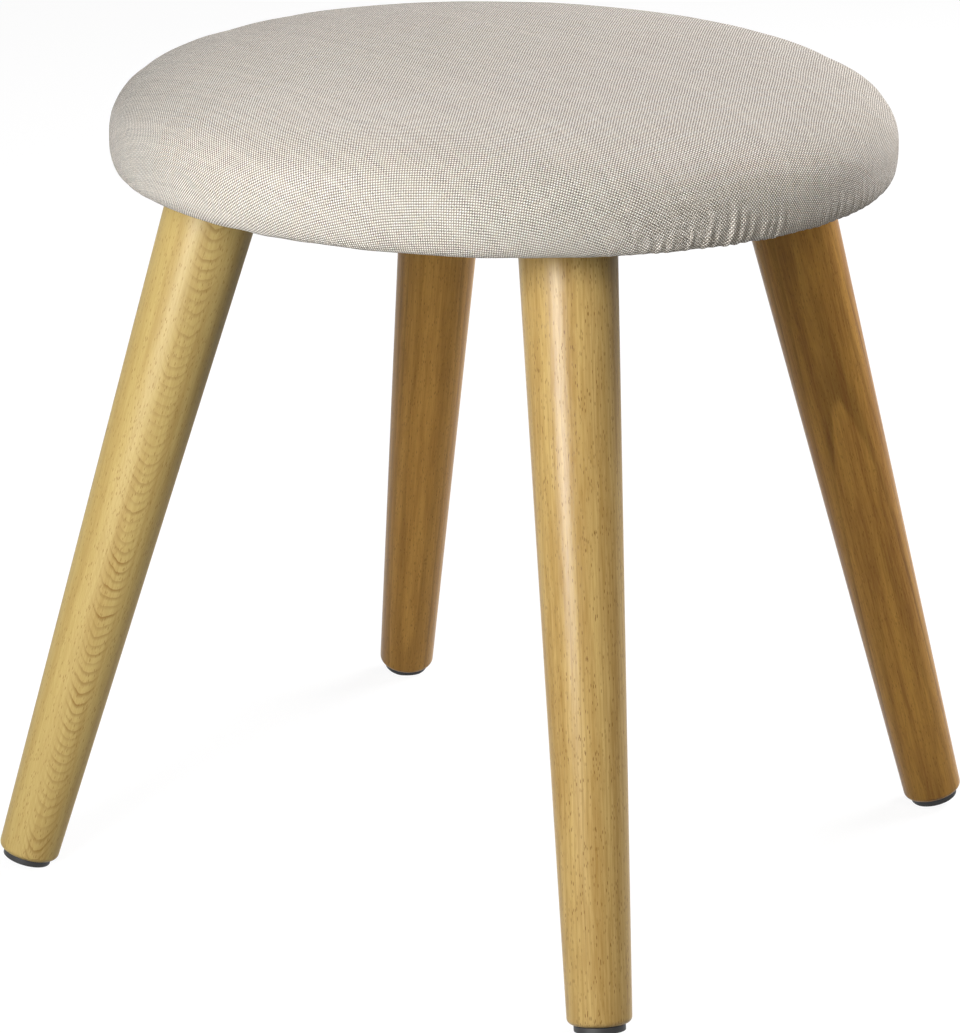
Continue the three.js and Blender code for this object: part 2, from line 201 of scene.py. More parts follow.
def shader_group(name, inputs, outputs):
    """An effect with named sockets, for several materials."""
    group = bpy.data.node_groups.new(name, "ShaderNodeTree")
    for socket, kind in inputs.items():
        group.interface.new_socket(socket, in_out="INPUT", socket_type="NodeSocket" + kind)
    for socket, kind in outputs.items():
        group.interface.new_socket(socket, in_out="OUTPUT", socket_type="NodeSocket" + kind)
    return group, group.nodes.new("NodeGroupInput").outputs, group.nodes.new("NodeGroupOutput")


def send(tree, target, **values):
    """Links results to the inputs of a node that is already there."""
    for socket, value in values.items():
        tree.links.new(value, target.inputs[socket.replace("_", " ")])


def new_material(name, **settings):
    """A material with its Principled BSDF, whose plain values are set on its own sockets."""
    material = bpy.data.materials.new(name)
    material.use_nodes = True
    shader = material.node_tree.nodes["Principled BSDF"]
    for socket, value in settings.items():
        shader.inputs[socket.replace("_", " ")].default_value = value
    return material, material.node_tree, shader


def place_on_object(tree):
    return node(tree, "ShaderNodeTexCoord").outputs["Object"]


def bump(tree, height, strength, distance):
    inputs = {"Height": height, "Strength": strength, "Distance": distance}
    return node(tree, "ShaderNodeBump", inputs).outputs[0]


print("helpers ready for", bpy.app.version_string)

# %% [markdown]
# ## Floor, backdrop and light
# The photograph has a plain white surround. A matt floor alone would be grey under light that
# suits the stool, so camera rays see it mostly as plain white, and a share of its true shading
# stays for the shadow. Seen from below it is clear, so that the underside can be looked at. A
# tall soft key at the front left models the legs. A large lamp behind on the right lights the top,
# two weak ones fill in from the left and the front, and the world adds a little warmth. The sheen
# lamp hangs where the key does and shows only in reflections, where it draws the bright line on
# the legs. The other lamps are kept out of reflections, so the legs' dark sides stay dark.

# %% Floor and world
FLOOR_SIZE = 60.0
SHADOW_SHARE = 0.6
WORLD_LIGHT = 0.05
WORLD_TINT = (1.0, 0.86, 0.70, 1)  # its light on the stool is warm
FLOOR_WHITE = 2.3  # what camera rays see of the floor, before its shading is mixed in
FLOOR_GREY = 0.2
WHITE = (1, 1, 1, 1)


def seen_directly(tree):
    """1 for the rays that see the backdrop: from the camera, off a mirror or through glass."""
    path = node(tree, "ShaderNodeLightPath").outputs
    direct = maths(tree, "MAXIMUM", path["Is Camera Ray"], path["Is Transmission Ray"])
    return maths(tree, "MAXIMUM", direct, path["Is Glossy Ray"])


def floor_material():
    material = bpy.data.materials.new("studio_floor")
    material.use_nodes = True
    tree = material.node_tree
    tree.nodes.clear()
    matt = node(tree, "ShaderNodeBsdfDiffuse", {"Color": (FLOOR_GREY, FLOOR_GREY, FLOOR_GREY, 1)})
    white = node(tree, "ShaderNodeEmission", {"Color": WHITE, "Strength": FLOOR_WHITE})
    clear = node(tree, "ShaderNodeBsdfTransparent")
    share = times(tree, seen_directly(tree), 1 - SHADOW_SHARE)
    pale = node(tree, "ShaderNodeMixShader", {0: share, 1: matt.outputs[0], 2: white.outputs[0]})
    below = node(tree, "ShaderNodeNewGeometry").outputs["Backfacing"]
    sides = node(tree, "ShaderNodeMixShader", {0: below, 1: pale.outputs[0], 2: clear.outputs[0]})
    send(tree, node(tree, "ShaderNodeOutputMaterial"), Surface=sides.outputs[0])
    return material


def white_world():
    world = bpy.data.worlds.new("studio")
    bpy.context.scene.world = world
    world.use_nodes = True
    tree = world.node_tree
    seen = seen_directly(tree)
    strength = ramp(tree, seen, 0.0, 1.0, WORLD_LIGHT, 1.0)
    colour = blend(tree, seen, WORLD_TINT, WHITE)
    send(tree, tree.nodes["Background"], Strength=strength, Color=colour)


square = bmesh.new()
bmesh.ops.create_grid(square, x_segments=1, y_segments=1, size=FLOOR_SIZE / 2)
floor = placed("floor", mesh_of(square, "floor"))
floor.data.materials.append(floor_material())
white_world()
print("floor", FLOOR_SIZE, "m across, world light", WORLD_LIGHT)

# %% Soft lamps
LAMPS = {
    # name: degrees left of the camera, elevation, distance, width, height, watts, colour
    "key": (30, 22, 1.1, 0.30, 0.60, 11.5, WHITE[:3]),
    "sheen": (30, 22, 1.1, 0.42, 0.60, 34.0, WHITE[:3]),
    "left_fill": (85, 12, 2.0, 1.4, 1.4, 4.0, WHITE[:3]),
    "front_fill": (-50, 35, 2.2, 1.2, 1.2, 12.0, (1.0, 0.96, 0.90)),
    "rear_right": (-130, 36, 2.2, 1.3, 1.3, 63.0, (0.98, 0.97, 1.0)),
}
MIRRORED = "sheen"  # it alone shows in reflections, and there only


def add_lamp(name, left, elevation, distance, width, height, watts, colour):
    lamp = bpy.data.lights.new(name, "AREA")
    lamp.shape = "RECTANGLE"
    lamp.size, lamp.size_y, lamp.energy = width, height, watts
    lamp.color = colour
    holder = placed(name, lamp)
    towards = direction(CAMERA_AZIMUTH - math.radians(left), math.radians(elevation))
    turn = towards.to_track_quat("Z", "Y")
    holder.matrix_world = Matrix.LocRotScale(CAMERA_TARGET + towards * distance, turn, None)
    holder.visible_glossy = name == MIRRORED
    holder.visible_diffuse = name != MIRRORED


for name, settings in LAMPS.items():
    add_lamp(name, *settings)
print(len(LAMPS), "soft lamps")

# %% [markdown]
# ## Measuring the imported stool
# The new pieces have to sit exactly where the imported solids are, so their places are measured from
# those solids. A turned part's corners lie in even rings round its axis, so the mean of its
# corners lies on that axis. The bolt in the top of a leg and the nail in its foot give two such
# points, and with them the leg's own frame: origin at the middle of its top, Z up its length.

# %% Find each leg's frame
seat_low, seat_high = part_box("seat_cover")
SEAT_RADIUS = seat_high.x
SEAT_TOP = seat_high.z
HEM_HEIGHT = seat_low.z


def corners_of(name):
    """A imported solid's own corners, each once."""
    rounded = {tuple(round(c, 7) for c in vertex.co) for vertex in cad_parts[name].data.vertices}
    return [Vector(place) for place in sorted(rounded)]


def middle_of(name):
    places = corners_of(name)
    return sum(places, Vector()) / len(places)


def leg_frame(corner):
    """The leg's frame as a matrix, from its frame to the stool's."""
    bolt, nail = middle_of("hanger_bolt_" + corner), middle_of("glide_nail_" + corner)
    up = (bolt - nail).normalized()
    top = max((place - nail).dot(up) for place in corners_of("leg_" + corner))
    sideways = UP.cross(nail).normalized()
    turn = Matrix((sideways.cross(up), sideways, up)).transposed()
    return Matrix.Translation(nail + up * top) @ turn.to_4x4()


leg_frames = {corner: leg_frame(corner) for corner in CORNERS}
for corner, matrix in leg_frames.items():
    print(corner, "leg top at", [round(c / MM, 2) for c in matrix.translation], "mm")

# %% [markdown]
# ## Making and keeping a piece
# Round parts are spun: an outline of radius and height is drawn once and turned about the upright
# axis, which keeps every ring truly round. A finished bmesh becomes an object at the origin that
# rides on the stool, takes its material and stands in for the imported solid. Edges sharper than a
# set angle are kept crisp and the rest shade smoothly.

# %% Helpers for new pieces
CREASE = math.radians(32)
WELD = 0.001 * MM


def facing_out(shape):
    """The shape with all its faces turned outwards."""
    bmesh.ops.recalc_face_normals(shape, faces=shape.faces)
    return shape


def spun(outline, steps):
    """A bmesh turned from a list of (radius, height) points."""
    shape = bmesh.new()
    points = [shape.verts.new((radius, 0, height)) for radius, height in outline]
    edges = [shape.edges.new(pair) for pair in zip(points, points[1:])]
    bmesh.ops.spin(shape, geom=points + edges, cent=(0, 0, 0), axis=UP, angle=FULL_TURN,
                   steps=steps, use_merge=True)
    bmesh.ops.remove_doubles(shape, verts=shape.verts, dist=WELD)
    return facing_out(shape)


def arc(centre, radius, start, end, steps):
    """Points along part of a circle, from one angle to another in degrees."""
    angles = [math.radians(start + (end - start) * step / steps) for step in range(steps + 1)]
    return [(centre[0] + radius * math.cos(a), centre[1] + radius * math.sin(a)) for a in angles]


def shade(shape, crease=CREASE):
    for face in shape.faces:
        face.smooth = True
    for edge in shape.edges:
        edge.smooth = edge.is_manifold and edge.calc_face_angle() < crease


def keep(name, shape, material, solid, crease=CREASE):
    """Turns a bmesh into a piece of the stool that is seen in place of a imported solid."""
    shade(shape, crease)
    piece = placed(name, mesh_of(shape, name))
    piece.data.materials.append(material)
    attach(piece, "root")
    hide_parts(solid)
    print(f"{name}: {len(piece.data.polygons)} faces for {solid}")
    return piece


# %% [markdown]
# ## The seat's outline
# The seat is a disc of foam with a soft crown, a full rolled shoulder and a small roll under the
# widest line, where the cloth is pulled round the board. Each roll is a superellipse, a curve
# between an ellipse and a rectangle, because pulled foam is squarer than a true circle. Under the
# seat the cloth turns in flat and ends beneath the dust cover. Any point of the cloth is then known
# by how far it lies from the middle, measured along the cloth.

# %% Draw the outline
CROWN_RISE = 12.8 * MM
WIDEST_RISE = 12.5 * MM
HEM_INSET = 5.6 * MM
SHOULDER_REACH = 92.8 * MM
SHOULDER_POWER = 2.94
UNDER_ROLL_POWER = 2.35
TURN_IN = 15.3 * MM  # from the hem to the cloth's cut edge
CROWN_STEPS = 20
OUTLINE_STEPS = 160
CLOTH_THICKNESS = 1 * MM

hem_radius = SEAT_RADIUS - HEM_INSET
widest_height = HEM_HEIGHT + WIDEST_RISE
shoulder_height = SEAT_TOP - CROWN_RISE - widest_height


def power_of(value, power):
    """A sine or cosine, bent so that the curve it draws is a superellipse."""
    return max(value, 0.0) ** (2 / power)


def crown(radius):
    """The height of the crown above the seat's rim."""
    return CROWN_RISE * (1 - (radius / SEAT_RADIUS) ** 2)


def seat_outline():
    """From the middle of the crown over the shoulder to the cloth's cut edge."""
    flat = SEAT_RADIUS - SHOULDER_REACH
    points = [(0, SEAT_TOP)]
    for i in range(1, CROWN_STEPS):
        radius = flat * i / CROWN_STEPS
        points.append((radius, SEAT_TOP - CROWN_RISE + crown(radius)))
    for i in range(OUTLINE_STEPS + 1):
        angle = math.pi / 2 * (1 - i / OUTLINE_STEPS)
        radius = flat + SHOULDER_REACH * power_of(math.cos(angle), SHOULDER_POWER)
        rise = shoulder_height * power_of(math.sin(angle), SHOULDER_POWER)
        points.append((radius, widest_height + rise + crown(radius)))
    for i in range(1, OUTLINE_STEPS + 1):
        angle = math.pi / 2 * i / OUTLINE_STEPS
        radius = hem_radius + HEM_INSET * power_of(math.cos(angle), UNDER_ROLL_POWER)
        drop = WIDEST_RISE * power_of(math.sin(angle), UNDER_ROLL_POWER)
        points.append((radius, widest_height - drop))
    return points + [(hem_radius - TURN_IN, HEM_HEIGHT)]


def walk(points):
    """The points of a line, and how far each lies along it."""
    places = [Vector(point) for point in points]
    lengths = [0.0]
    for before, after in zip(places, places[1:]):
        lengths.append(lengths[-1] + (after - before).length)
    return places, lengths


drawn, walked = walk(seat_outline())
CLOTH_REACH = walked[-1]
HEM_DISTANCE = CLOTH_REACH - TURN_IN
PROBE = 0.5 * MM


def outline_at(distance):
    """The point of the outline at a distance from the middle, as (radius, height)."""
    distance = min(max(distance, 0.0), CLOTH_REACH)
    after = min(max(bisect_right(walked, distance), 1), len(walked) - 1)
    share = (distance - walked[after - 1]) / (walked[after] - walked[after - 1])
    return drawn[after - 1].lerp(drawn[after], share)


def outward_at(distance):
    """The direction square to the cloth there, in the same two numbers."""
    run = outline_at(distance + PROBE) - outline_at(distance - PROBE)
    return Vector((-run.y, run.x)).normalized()


print("the cloth reaches", round(CLOTH_REACH / MM, 1), "mm from the middle")

# %% [markdown]
# ## A round blank of cloth
# The cover is cut as one flat disc, so it starts as one here: rings of points round a middle. Near
# the hem the puckers need finer columns, so the ring edges there are cut again. Each point is then
# carried onto the seat by its distance from the middle. The flat disc stays useful afterwards,
# because the threads of the weave run straight across it.

# %% Cut the blank and lay it on the seat
AROUND = 240
BASE_SPACING = 4 * MM
GRAIN_TURN = math.radians(-19)  # the way the warp threads lie on the seat


def ring_places(start, end, spacing):
    """Evenly spread distances from one to another, without the last."""
    count = round((end - start) / spacing)
    return [start + (end - start) * i / count for i in range(count)]


def blank(rings, fine_from, cuts):
    """A flat disc with the given rings. Ring edges from a distance on are cut finer."""
    disc = spun([(radius, 0) for radius in rings], AROUND)
    edges = []
    for edge in disc.edges:
        near, far = sorted(vertex.co.length for vertex in edge.verts)
        if far - near < WELD and near > fine_from - WELD:
            edges.append(edge)
    if cuts:
        bmesh.ops.subdivide_edges(disc, edges=edges, cuts=cuts, use_grid_fill=True)
    disc.normal_update()
    if sum(face.normal.z for face in disc.faces) < 0:
        bmesh.ops.reverse_faces(disc, faces=disc.faces)
    layer = disc.loops.layers.uv.new("weave")
    across, down = math.cos(GRAIN_TURN), math.sin(GRAIN_TURN)
    for face in disc.faces:
        for corner in face.loops:
            x, y = corner.vert.co.xy
            corner[layer].uv = (x * across + y * down, y * across - x * down)
    return disc


def lay(disc, depth, lift):
    """Carries the flat disc onto the seat, at a depth under its outline."""
    for vertex in disc.verts:
        distance = vertex.co.length
        azimuth = math.atan2(vertex.co.y, vertex.co.x)
        place = outline_at(distance) + outward_at(distance) * (lift(distance, azimuth) - depth)
        vertex.co = (place.x * math.cos(azimuth), place.x * math.sin(azimuth), place.y)


base_rings = ring_places(0.0, CLOTH_REACH, BASE_SPACING) + [CLOTH_REACH]
print(len(base_rings), "rings of", AROUND, "points")

# %% [markdown]
# ## Pulling the cloth over the foam
# On the real seat the cloth is stretched over foam that pushes back, so its surface is never a
# perfect turned form. Modelling that by hand looks stiff. Here the cover starts a little too small
# and Blender's cloth solver blows it up against its stapled edge for a few frames with gravity
# off. The foam also grips the cloth, so a weak pin holds every point. What is kept is how far each
# point ends above or below the mean of its own ring, so the drawn outline stays. These hollows are
# evened out round each ring, and not quite half of their depth is added to the cloth, because the
# real foam is even and lets little of them show.

# %% Let the cloth settle
SQUEEZE = 1.0 * MM  # how much smaller the cover starts
FOAM_GRIP = 0.07  # how firmly the foam holds the cloth that lies on it
FOAM_PRESSURE = 4.0
SETTLE_FRAMES = 20
STAPLED_REACH = 18 * MM  # cloth held by the staples, measured from the cut edge
HOLLOW_CAP = 1.6 * MM
HOLLOW_SHARE = 0.45  # what shows of the hollows on the even pad
EVENING_PASSES = 3


def start_lift(distance, azimuth):
    """The squeezed cover keeps its place where it is stapled."""
    return SQUEEZE * min(1.0, max(0.0, 1 - (CLOTH_REACH - STAPLED_REACH - distance) / STAPLED_REACH))


def discard(piece):
    """Removes an object and its mesh."""
    mesh = piece.data
    bpy.data.objects.remove(piece)
    bpy.data.meshes.remove(mesh)


def settled_places(piece, distances):
    """Runs the cloth solver and gives the places in which the cloth ends."""
    held = piece.vertex_groups.new(name="held")
    for index, distance in enumerate(distances):
        stapled = distance > CLOTH_REACH - STAPLED_REACH
        held.add([index], 1.0 if stapled else FOAM_GRIP, "REPLACE")
    cloth = piece.modifiers.new("settle", "CLOTH")
    cloth.settings.vertex_group_mass = held.name
    cloth.settings.use_pressure = True
    cloth.settings.uniform_pressure_force = FOAM_PRESSURE
    cloth.settings.effector_weights.gravity = 0
    cloth.point_cache.frame_start, cloth.point_cache.frame_end = 1, SETTLE_FRAMES
    for number in range(1, SETTLE_FRAMES + 1):
        bpy.context.scene.frame_set(number)
    settled = piece.evaluated_get(bpy.context.evaluated_depsgraph_get())
    places = [vertex.co.copy() for vertex in settled.data.vertices]
    bpy.context.scene.frame_set(1)
    return places


def hollows_of_settled_cloth():
    """For each ring and column, how far the settled cloth lies off its ring's mean."""
    table = [[0.0] * AROUND for _ in base_rings]
    disc = blank(base_rings, CLOTH_REACH, 0)
    spots = []
    for vertex in disc.verts:
        ring = min(range(len(base_rings)), key=lambda i: abs(base_rings[i] - vertex.co.length))
        column = round(math.atan2(vertex.co.y, vertex.co.x) / FULL_TURN * AROUND) % AROUND
        spots.append((ring, column))
    lay(disc, SQUEEZE, start_lift)
    piece = placed("settling", mesh_of(disc, "settling"))
    places = settled_places(piece, [base_rings[ring] for ring, column in spots])
    for (ring, column), place in zip(spots, places):
        distance = base_rings[ring]
        off = Vector((place.xy.length, place.z)) - outline_at(distance)
        table[ring][column] = off.dot(outward_at(distance))
    for ring in range(1, len(table)):
        mean = sum(table[ring]) / AROUND
        row = [max(-HOLLOW_CAP, min(HOLLOW_CAP, height - mean)) for height in table[ring]]
        for _ in range(EVENING_PASSES):
            row = [(row[i - 1] + 2 * row[i] + row[(i + 1) % AROUND]) / 4 for i in range(AROUND)]
        table[ring] = [height * HOLLOW_SHARE for height in row]
    table[0] = [0.0] * AROUND
    discard(piece)
    return table


hollows = hollows_of_settled_cloth()
deepest = min(min(row) for row in hollows)
highest = max(max(row) for row in hollows)
print(f"the cloth's hollows are {-deepest / MM:.2f} mm deep, its swells {highest / MM:.2f} mm high")


def curved(before, start, end, after, share):
    """A value between start and end on a smooth curve through all four."""
    rise = end - before
    bend = 2 * before - 5 * start + 4 * end - after
    twist = 3 * (start - end) + after - before
    return start + 0.5 * share * (rise + share * (bend + share * twist))


def hollow_at(distance, azimuth):
    """The settled cloth's unevenness, read smoothly between its points."""
    along = distance / CLOTH_REACH * (len(base_rings) - 1)
    around = azimuth / FULL_TURN * AROUND
    ring, column = math.floor(along), math.floor(around)
    rows = []
    for near in range(ring - 1, ring + 3):
        row = hollows[min(max(near, 0), len(hollows) - 1)]
        points = [row[(column + step) % AROUND] for step in (-1, 0, 1, 2)]
        rows.append(curved(*points, around - column))
    return curved(*rows, along - ring)


# %% [markdown]
# ## Puckers at the hem
# A flat round of cloth is too wide for the rim that it is folded under, so the spare cloth gathers
# into small ridges. Where the threads run straight over the edge they can't give way and the
# ridges are strong; on the slant between, the weave shifts and the hem stays smooth. Every ridge
# starts at the hem, leans a little and fades out a finger's breadth above it. The ones at the
# front right follow the photograph, and the hidden sides get quieter ones drawn at random.

# %% List the puckers
PUCKERS = [
    # degrees round the seat, strength, reach above the hem in mm, sideways lean for each unit up
    (-42.5, 0.25, 17, 0.05), (-39.5, 0.3, 18, 0.06), (-37.6, 0.35, 18, 0.08), (-35.8, 0.6, 19, 0.1),
    (-34.2, 0.5, 19, 0.1), (-31.4, 0.65, 21, 0.12), (-28.7, 0.85, 25, 0.14), (-27.1, 0.4, 22, 0.14),
    (-25.1, 1.2, 29, 0.15), (-23.4, 0.85, 27, 0.15), (-21.6, 0.65, 24, 0.13), (-19.3, 0.6, 23, 0.1),
    (-17.9, 0.35, 21, 0.08), (-16.4, 0.85, 26, 0.06), (-14.6, 0.35, 21, 0.04), (-12.2, 0.4, 20, 0.02),
    (-10.1, 0.3, 18, 0.0), (-8.4, 0.4, 19, 0.0), (-6.8, 0.5, 21, 0.0), (-4.9, 0.35, 18, 0.0),
    (-3.1, 0.55, 22, 0.0), (-1.1, 0.35, 18, 0.0), (1.1, 0.5, 21, -0.05), (3.8, 0.5, 21, -0.1),
    (6.0, 0.35, 18, -0.1), (8.4, 0.4, 20, -0.1), (11.7, 0.3, 19, -0.1), (15.4, 0.35, 18, -0.1),
]
HIDDEN_GROUPS = [(62, 26), (118, 30), (178, 24), (-158, 14)]  # middle and half width in degrees
HIDDEN_SPACING = (2.0, 3.8)
HIDDEN_STRENGTH = (0.35, 0.85)
HIDDEN_WANE = 0.6  # how much weaker a group is at its ends
HIDDEN_REACH = (14, 23)
HIDDEN_LEAN = (-0.5, 0.5)
PUCKER_HEIGHT = 0.75 * MM
PUCKER_HALF_WIDTH = 1.4 * MM
PUCKER_FADE = 0.62  # the share of its reach over which a ridge fades out
FADE_POWER = 1.3
PUCKER_FOOT = 6 * MM  # over this height above the hem a ridge comes to its full height
FOOT_SHARE = 0.3  # what it has of that height at the hem
UNDER_REACH = 8 * MM  # how far a pucker runs on under the seat
PUCKER_SEARCH = 11  # degrees to each side, past which no ridge is felt
PUCKER_CUT = 16  # half widths squared, past which a ridge's curve has died away

draw = random.Random(11)
for middle, half in HIDDEN_GROUPS:
    azimuth = middle - half
    while azimuth < middle + half:
        wane = 1 - HIDDEN_WANE * abs(azimuth - middle) / half
        strength = draw.uniform(*HIDDEN_STRENGTH) * wane
        PUCKERS.append((azimuth, strength, draw.uniform(*HIDDEN_REACH), draw.uniform(*HIDDEN_LEAN)))
        azimuth += draw.uniform(*HIDDEN_SPACING)


def turn_between(first, second):
    """The signed turn from one azimuth to another, in degrees."""
    return (first - second + 180) % 360 - 180


puckers_near = [[pucker for pucker in PUCKERS if abs(turn_between(degree, pucker[0])) < PUCKER_SEARCH]
                for degree in range(360)]


def pucker_at(distance, azimuth):
    """The height of the puckers at a point: a ridge with a shallow groove on each side."""
    up = HEM_DISTANCE - distance
    height = 0.0
    turned = math.degrees(azimuth)
    for middle, strength, reach, lean in puckers_near[round(turned) % 360]:
        if not -UNDER_REACH < up < reach * MM:
            continue
        above = min(1.0, (1 - up / (reach * MM)) / PUCKER_FADE)
        fade = above ** FADE_POWER if up > 0 else 1 + up / UNDER_REACH
        fade *= FOOT_SHARE + (1 - FOOT_SHARE) * min(1.0, max(up, 0.0) / PUCKER_FOOT)
        sideways = math.radians(turn_between(turned, middle)) * SEAT_RADIUS - lean * max(up, 0.0)
        share = (sideways / PUCKER_HALF_WIDTH) ** 2
        if share < PUCKER_CUT:
            height += strength * fade * (1 - share) * math.exp(-share / 2)
    return height * PUCKER_HEIGHT


PULL_HEIGHT = 0.5 * MM
PULL_COUNT = 13  # pull marks in one radian
PULL_RATE = 14  # and in a metre down the side
PULL_REACH = 34 * MM


def pull_at(distance, azimuth):
    """Broad, shallow marks where the cloth was pulled down."""
    up = max(HEM_DISTANCE - distance, 0.0)
    place = Vector((math.cos(azimuth) * PULL_COUNT, math.sin(azimuth) * PULL_COUNT,
                    distance * PULL_RATE))
    return noise.noise(place) * PULL_HEIGHT * math.exp(-up / PULL_REACH)


print(len(PUCKERS), "puckers")

# %% [markdown]
# ## The weave
# The cover is a plain weave of slubby yarn, a light warp and a darker weft: each thread goes over
# one and under the next. The two sets of threads are drawn as rows of rounded bars across the flat
# blank. Each bar rises and dips along its length, and the higher one is seen. Every thread has its
# own tone, and the gaps between threads are painted near black as shade, which gives the cloth its
# grain from a distance.

# %% Weave material
THREAD_PITCH = 0.826 * MM
THREAD_WAVE = 0.36  # how far a thread rises and dips, in shares of the relief
WARP_LEVEL, WEFT_LEVEL = 0.68, 0.64
STRAY = 1.2 * MM  # how far the threads stray from straight lines
STRAY_RATE = 45.0
OWN_SHADE = 0.3  # a thread's own shade, beside its slubs
SLUB_STEP, SLUB_RATE = 3.7, 0.11  # from one thread to the next, and along a thread
WEFT_SEED = 57.0
SLUB_RANGE = (0.3, 1.0)
WARP_SHADES = ((0.97, 0.90, 0.80, 1), (1.0, 0.98, 0.92, 1))  # from dark to light slubs
WEFT_SHADES = ((0.19, 0.16, 0.13, 1), (0.46, 0.40, 0.335, 1))
# painted shade: the near-black colour put in the gaps between the threads, where shade falls
THREAD_GAP_SHADE = (0.02, 0.017, 0.014, 1)
GAP_SHADE_EDGE = 0.62  # the height at which a gap's shade has gone
WEAVE_RELIEF = 0.4 * MM


def rounded_bar(tree, place):
    """The height across one thread, from a place that counts in threads."""
    off_middle = times(tree, minus(tree, maths(tree, "FRACT", place), 0.5), 2.0)
    left = minus(tree, 1.0, times(tree, off_middle, off_middle))
    return maths(tree, "SQRT", maths(tree, "MAXIMUM", left, 0.0))


def rise_and_dip(tree, along, number, wave, level):
    """A thread's height: up over one crossing thread and down under the next."""
    phase = times(tree, plus(tree, minus(tree, along, 0.5), number), math.pi)
    return plus(tree, times(tree, maths(tree, "COSINE", phase), wave), level)


def thread_tone(tree, number, along, seed):
    """A thread's own shade, with slubs along it."""
    own = random_of(tree, plus(tree, number, seed))
    place = node(tree, "ShaderNodeCombineXYZ", {0: times(tree, number, SLUB_STEP),
                                                1: times(tree, along, SLUB_RATE), 2: seed})
    tone = plus(tree, times(tree, own, OWN_SHADE), clouds(tree, place.outputs[0]))
    return ramp(tree, tone, *SLUB_RANGE)


def weave_material():
    material, tree, shader = new_material("greige_weave", Roughness=0.92, Sheen_Weight=0.1,
                                          Sheen_Roughness=0.5, Specular_IOR_Level=0.15)
    blank_place = node(tree, "ShaderNodeUVMap", uv_map="weave").outputs["UV"]
    drift = node(tree, "ShaderNodeTexNoise", {"Vector": blank_place, "Scale": STRAY_RATE,
                                              "Detail": 3.0}).outputs["Color"]
    centred = vector_maths(tree, "SUBTRACT", drift, (0.5, 0.5, 0.5))[0]
    shift = vector_maths(tree, "MULTIPLY", centred, (STRAY, STRAY, STRAY))[0]
    flat = parts_of(tree, vector_maths(tree, "ADD", blank_place, shift)[0])
    warp, weft = (maths(tree, "DIVIDE", flat[side], THREAD_PITCH) for side in (0, 1))
    warp_number, weft_number = (maths(tree, "FLOOR", place) for place in (warp, weft))
    warp_bar, weft_bar = (rounded_bar(tree, place) for place in (warp, weft))
    warp_wave = rise_and_dip(tree, weft, warp_number, THREAD_WAVE, WARP_LEVEL)
    weft_wave = rise_and_dip(tree, warp, weft_number, -THREAD_WAVE, WEFT_LEVEL)
    warp_height = times(tree, warp_bar, warp_wave)
    weft_height = times(tree, weft_bar, weft_wave)
    warp_on_top = maths(tree, "GREATER_THAN", warp_height, weft_height)
    warp_colour = blend(tree, thread_tone(tree, warp_number, weft, 0.0), *WARP_SHADES)
    weft_colour = blend(tree, thread_tone(tree, weft_number, warp, WEFT_SEED), *WEFT_SHADES)
    thread = blend(tree, warp_on_top, weft_colour, warp_colour)
    # painted shade: the gaps between the rounded threads are darkened towards near black
    out_of_gap_shade = ramp(tree, times(tree, warp_bar, weft_bar), 0.0, GAP_SHADE_EDGE)
    height = maths(tree, "MAXIMUM", warp_height, weft_height)
    send(tree, shader, Base_Color=blend(tree, out_of_gap_shade, THREAD_GAP_SHADE, thread),
         Normal=bump(tree, height, 1.0, WEAVE_RELIEF))
    return material


weave = weave_material()
print("weave:", round(10 * MM / THREAD_PITCH, 1), "threads a centimetre each way")

# %% [markdown]
# ## The cushion
# The outer face of the cover is laid on the outline with its hollows and puckers, and each corner
# keeps its place on the flat blank as the weave's own map. A second, coarser face lies one cloth's
# thickness inside, and the two are joined along the cut edge, so the cover is a closed skin with a
# real thickness.

# %% Make the cover
SHOULDER_START = 92 * MM  # from here the outline bends more
SHOULDER_SPACING = 2 * MM
BAND_START = HEM_DISTANCE - 29 * MM  # the puckered band
BAND_SPACING = 1.25 * MM
FINE_CUTS = 7


def outer_lift(distance, azimuth):
    """How far the cover's face stands off the drawn outline."""
    return hollow_at(distance, azimuth) + pucker_at(distance, azimuth) + pull_at(distance, azimuth)


def cover_shape():
    rings = ring_places(0.0, SHOULDER_START, BASE_SPACING)
    rings += ring_places(SHOULDER_START, BAND_START, SHOULDER_SPACING)
    rings += ring_places(BAND_START, CLOTH_REACH, BAND_SPACING) + [CLOTH_REACH]
    shape = blank(rings, BAND_START, FINE_CUTS)
    lay(shape, 0.0, outer_lift)
    lining = blank(base_rings, CLOTH_REACH, FINE_CUTS)
    lay(lining, CLOTH_THICKNESS, hollow_at)
    bmesh.ops.reverse_faces(lining, faces=lining.faces)
    inner = mesh_of(lining, "lining")
    shape.from_mesh(inner)
    bpy.data.meshes.remove(inner)
    bmesh.ops.bridge_loops(shape, edges=[edge for edge in shape.edges if edge.is_boundary])
    return facing_out(shape)


cover = keep("seat_cushion", cover_shape(), weave, "seat_cover", crease=math.pi)

# %% [markdown]
# ## Joining and cutting shapes
# Pressed and drilled parts are easiest as simple bodies that are joined to or cut out of each
# other. Blender does that with a modifier, so a helper turns the shapes into objects for a moment,
# lets the modifiers work and reads the result back.

# %% Joining and cutting


def joined(shape, tools, how="DIFFERENCE"):
    """The shape with the tools cut out of it, or added to it."""
    holders = [placed("for_a_moment", mesh_of(part, "for_a_moment")) for part in (shape, *tools)]
    for tool in holders[1:]:
        step = holders[0].modifiers.new("step", "BOOLEAN")
        step.operation, step.solver, step.object = how, "EXACT", tool
    evaluated = holders[0].evaluated_get(bpy.context.evaluated_depsgraph_get())
    result = bmesh.new()
    result.from_mesh(evaluated.data)
    for holder in holders:
        discard(holder)
    bmesh.ops.remove_doubles(result, verts=result.verts, dist=WELD)
    return result


def moved(shape, matrix):
    bmesh.ops.transform(shape, matrix=matrix, verts=shape.verts)
    return shape


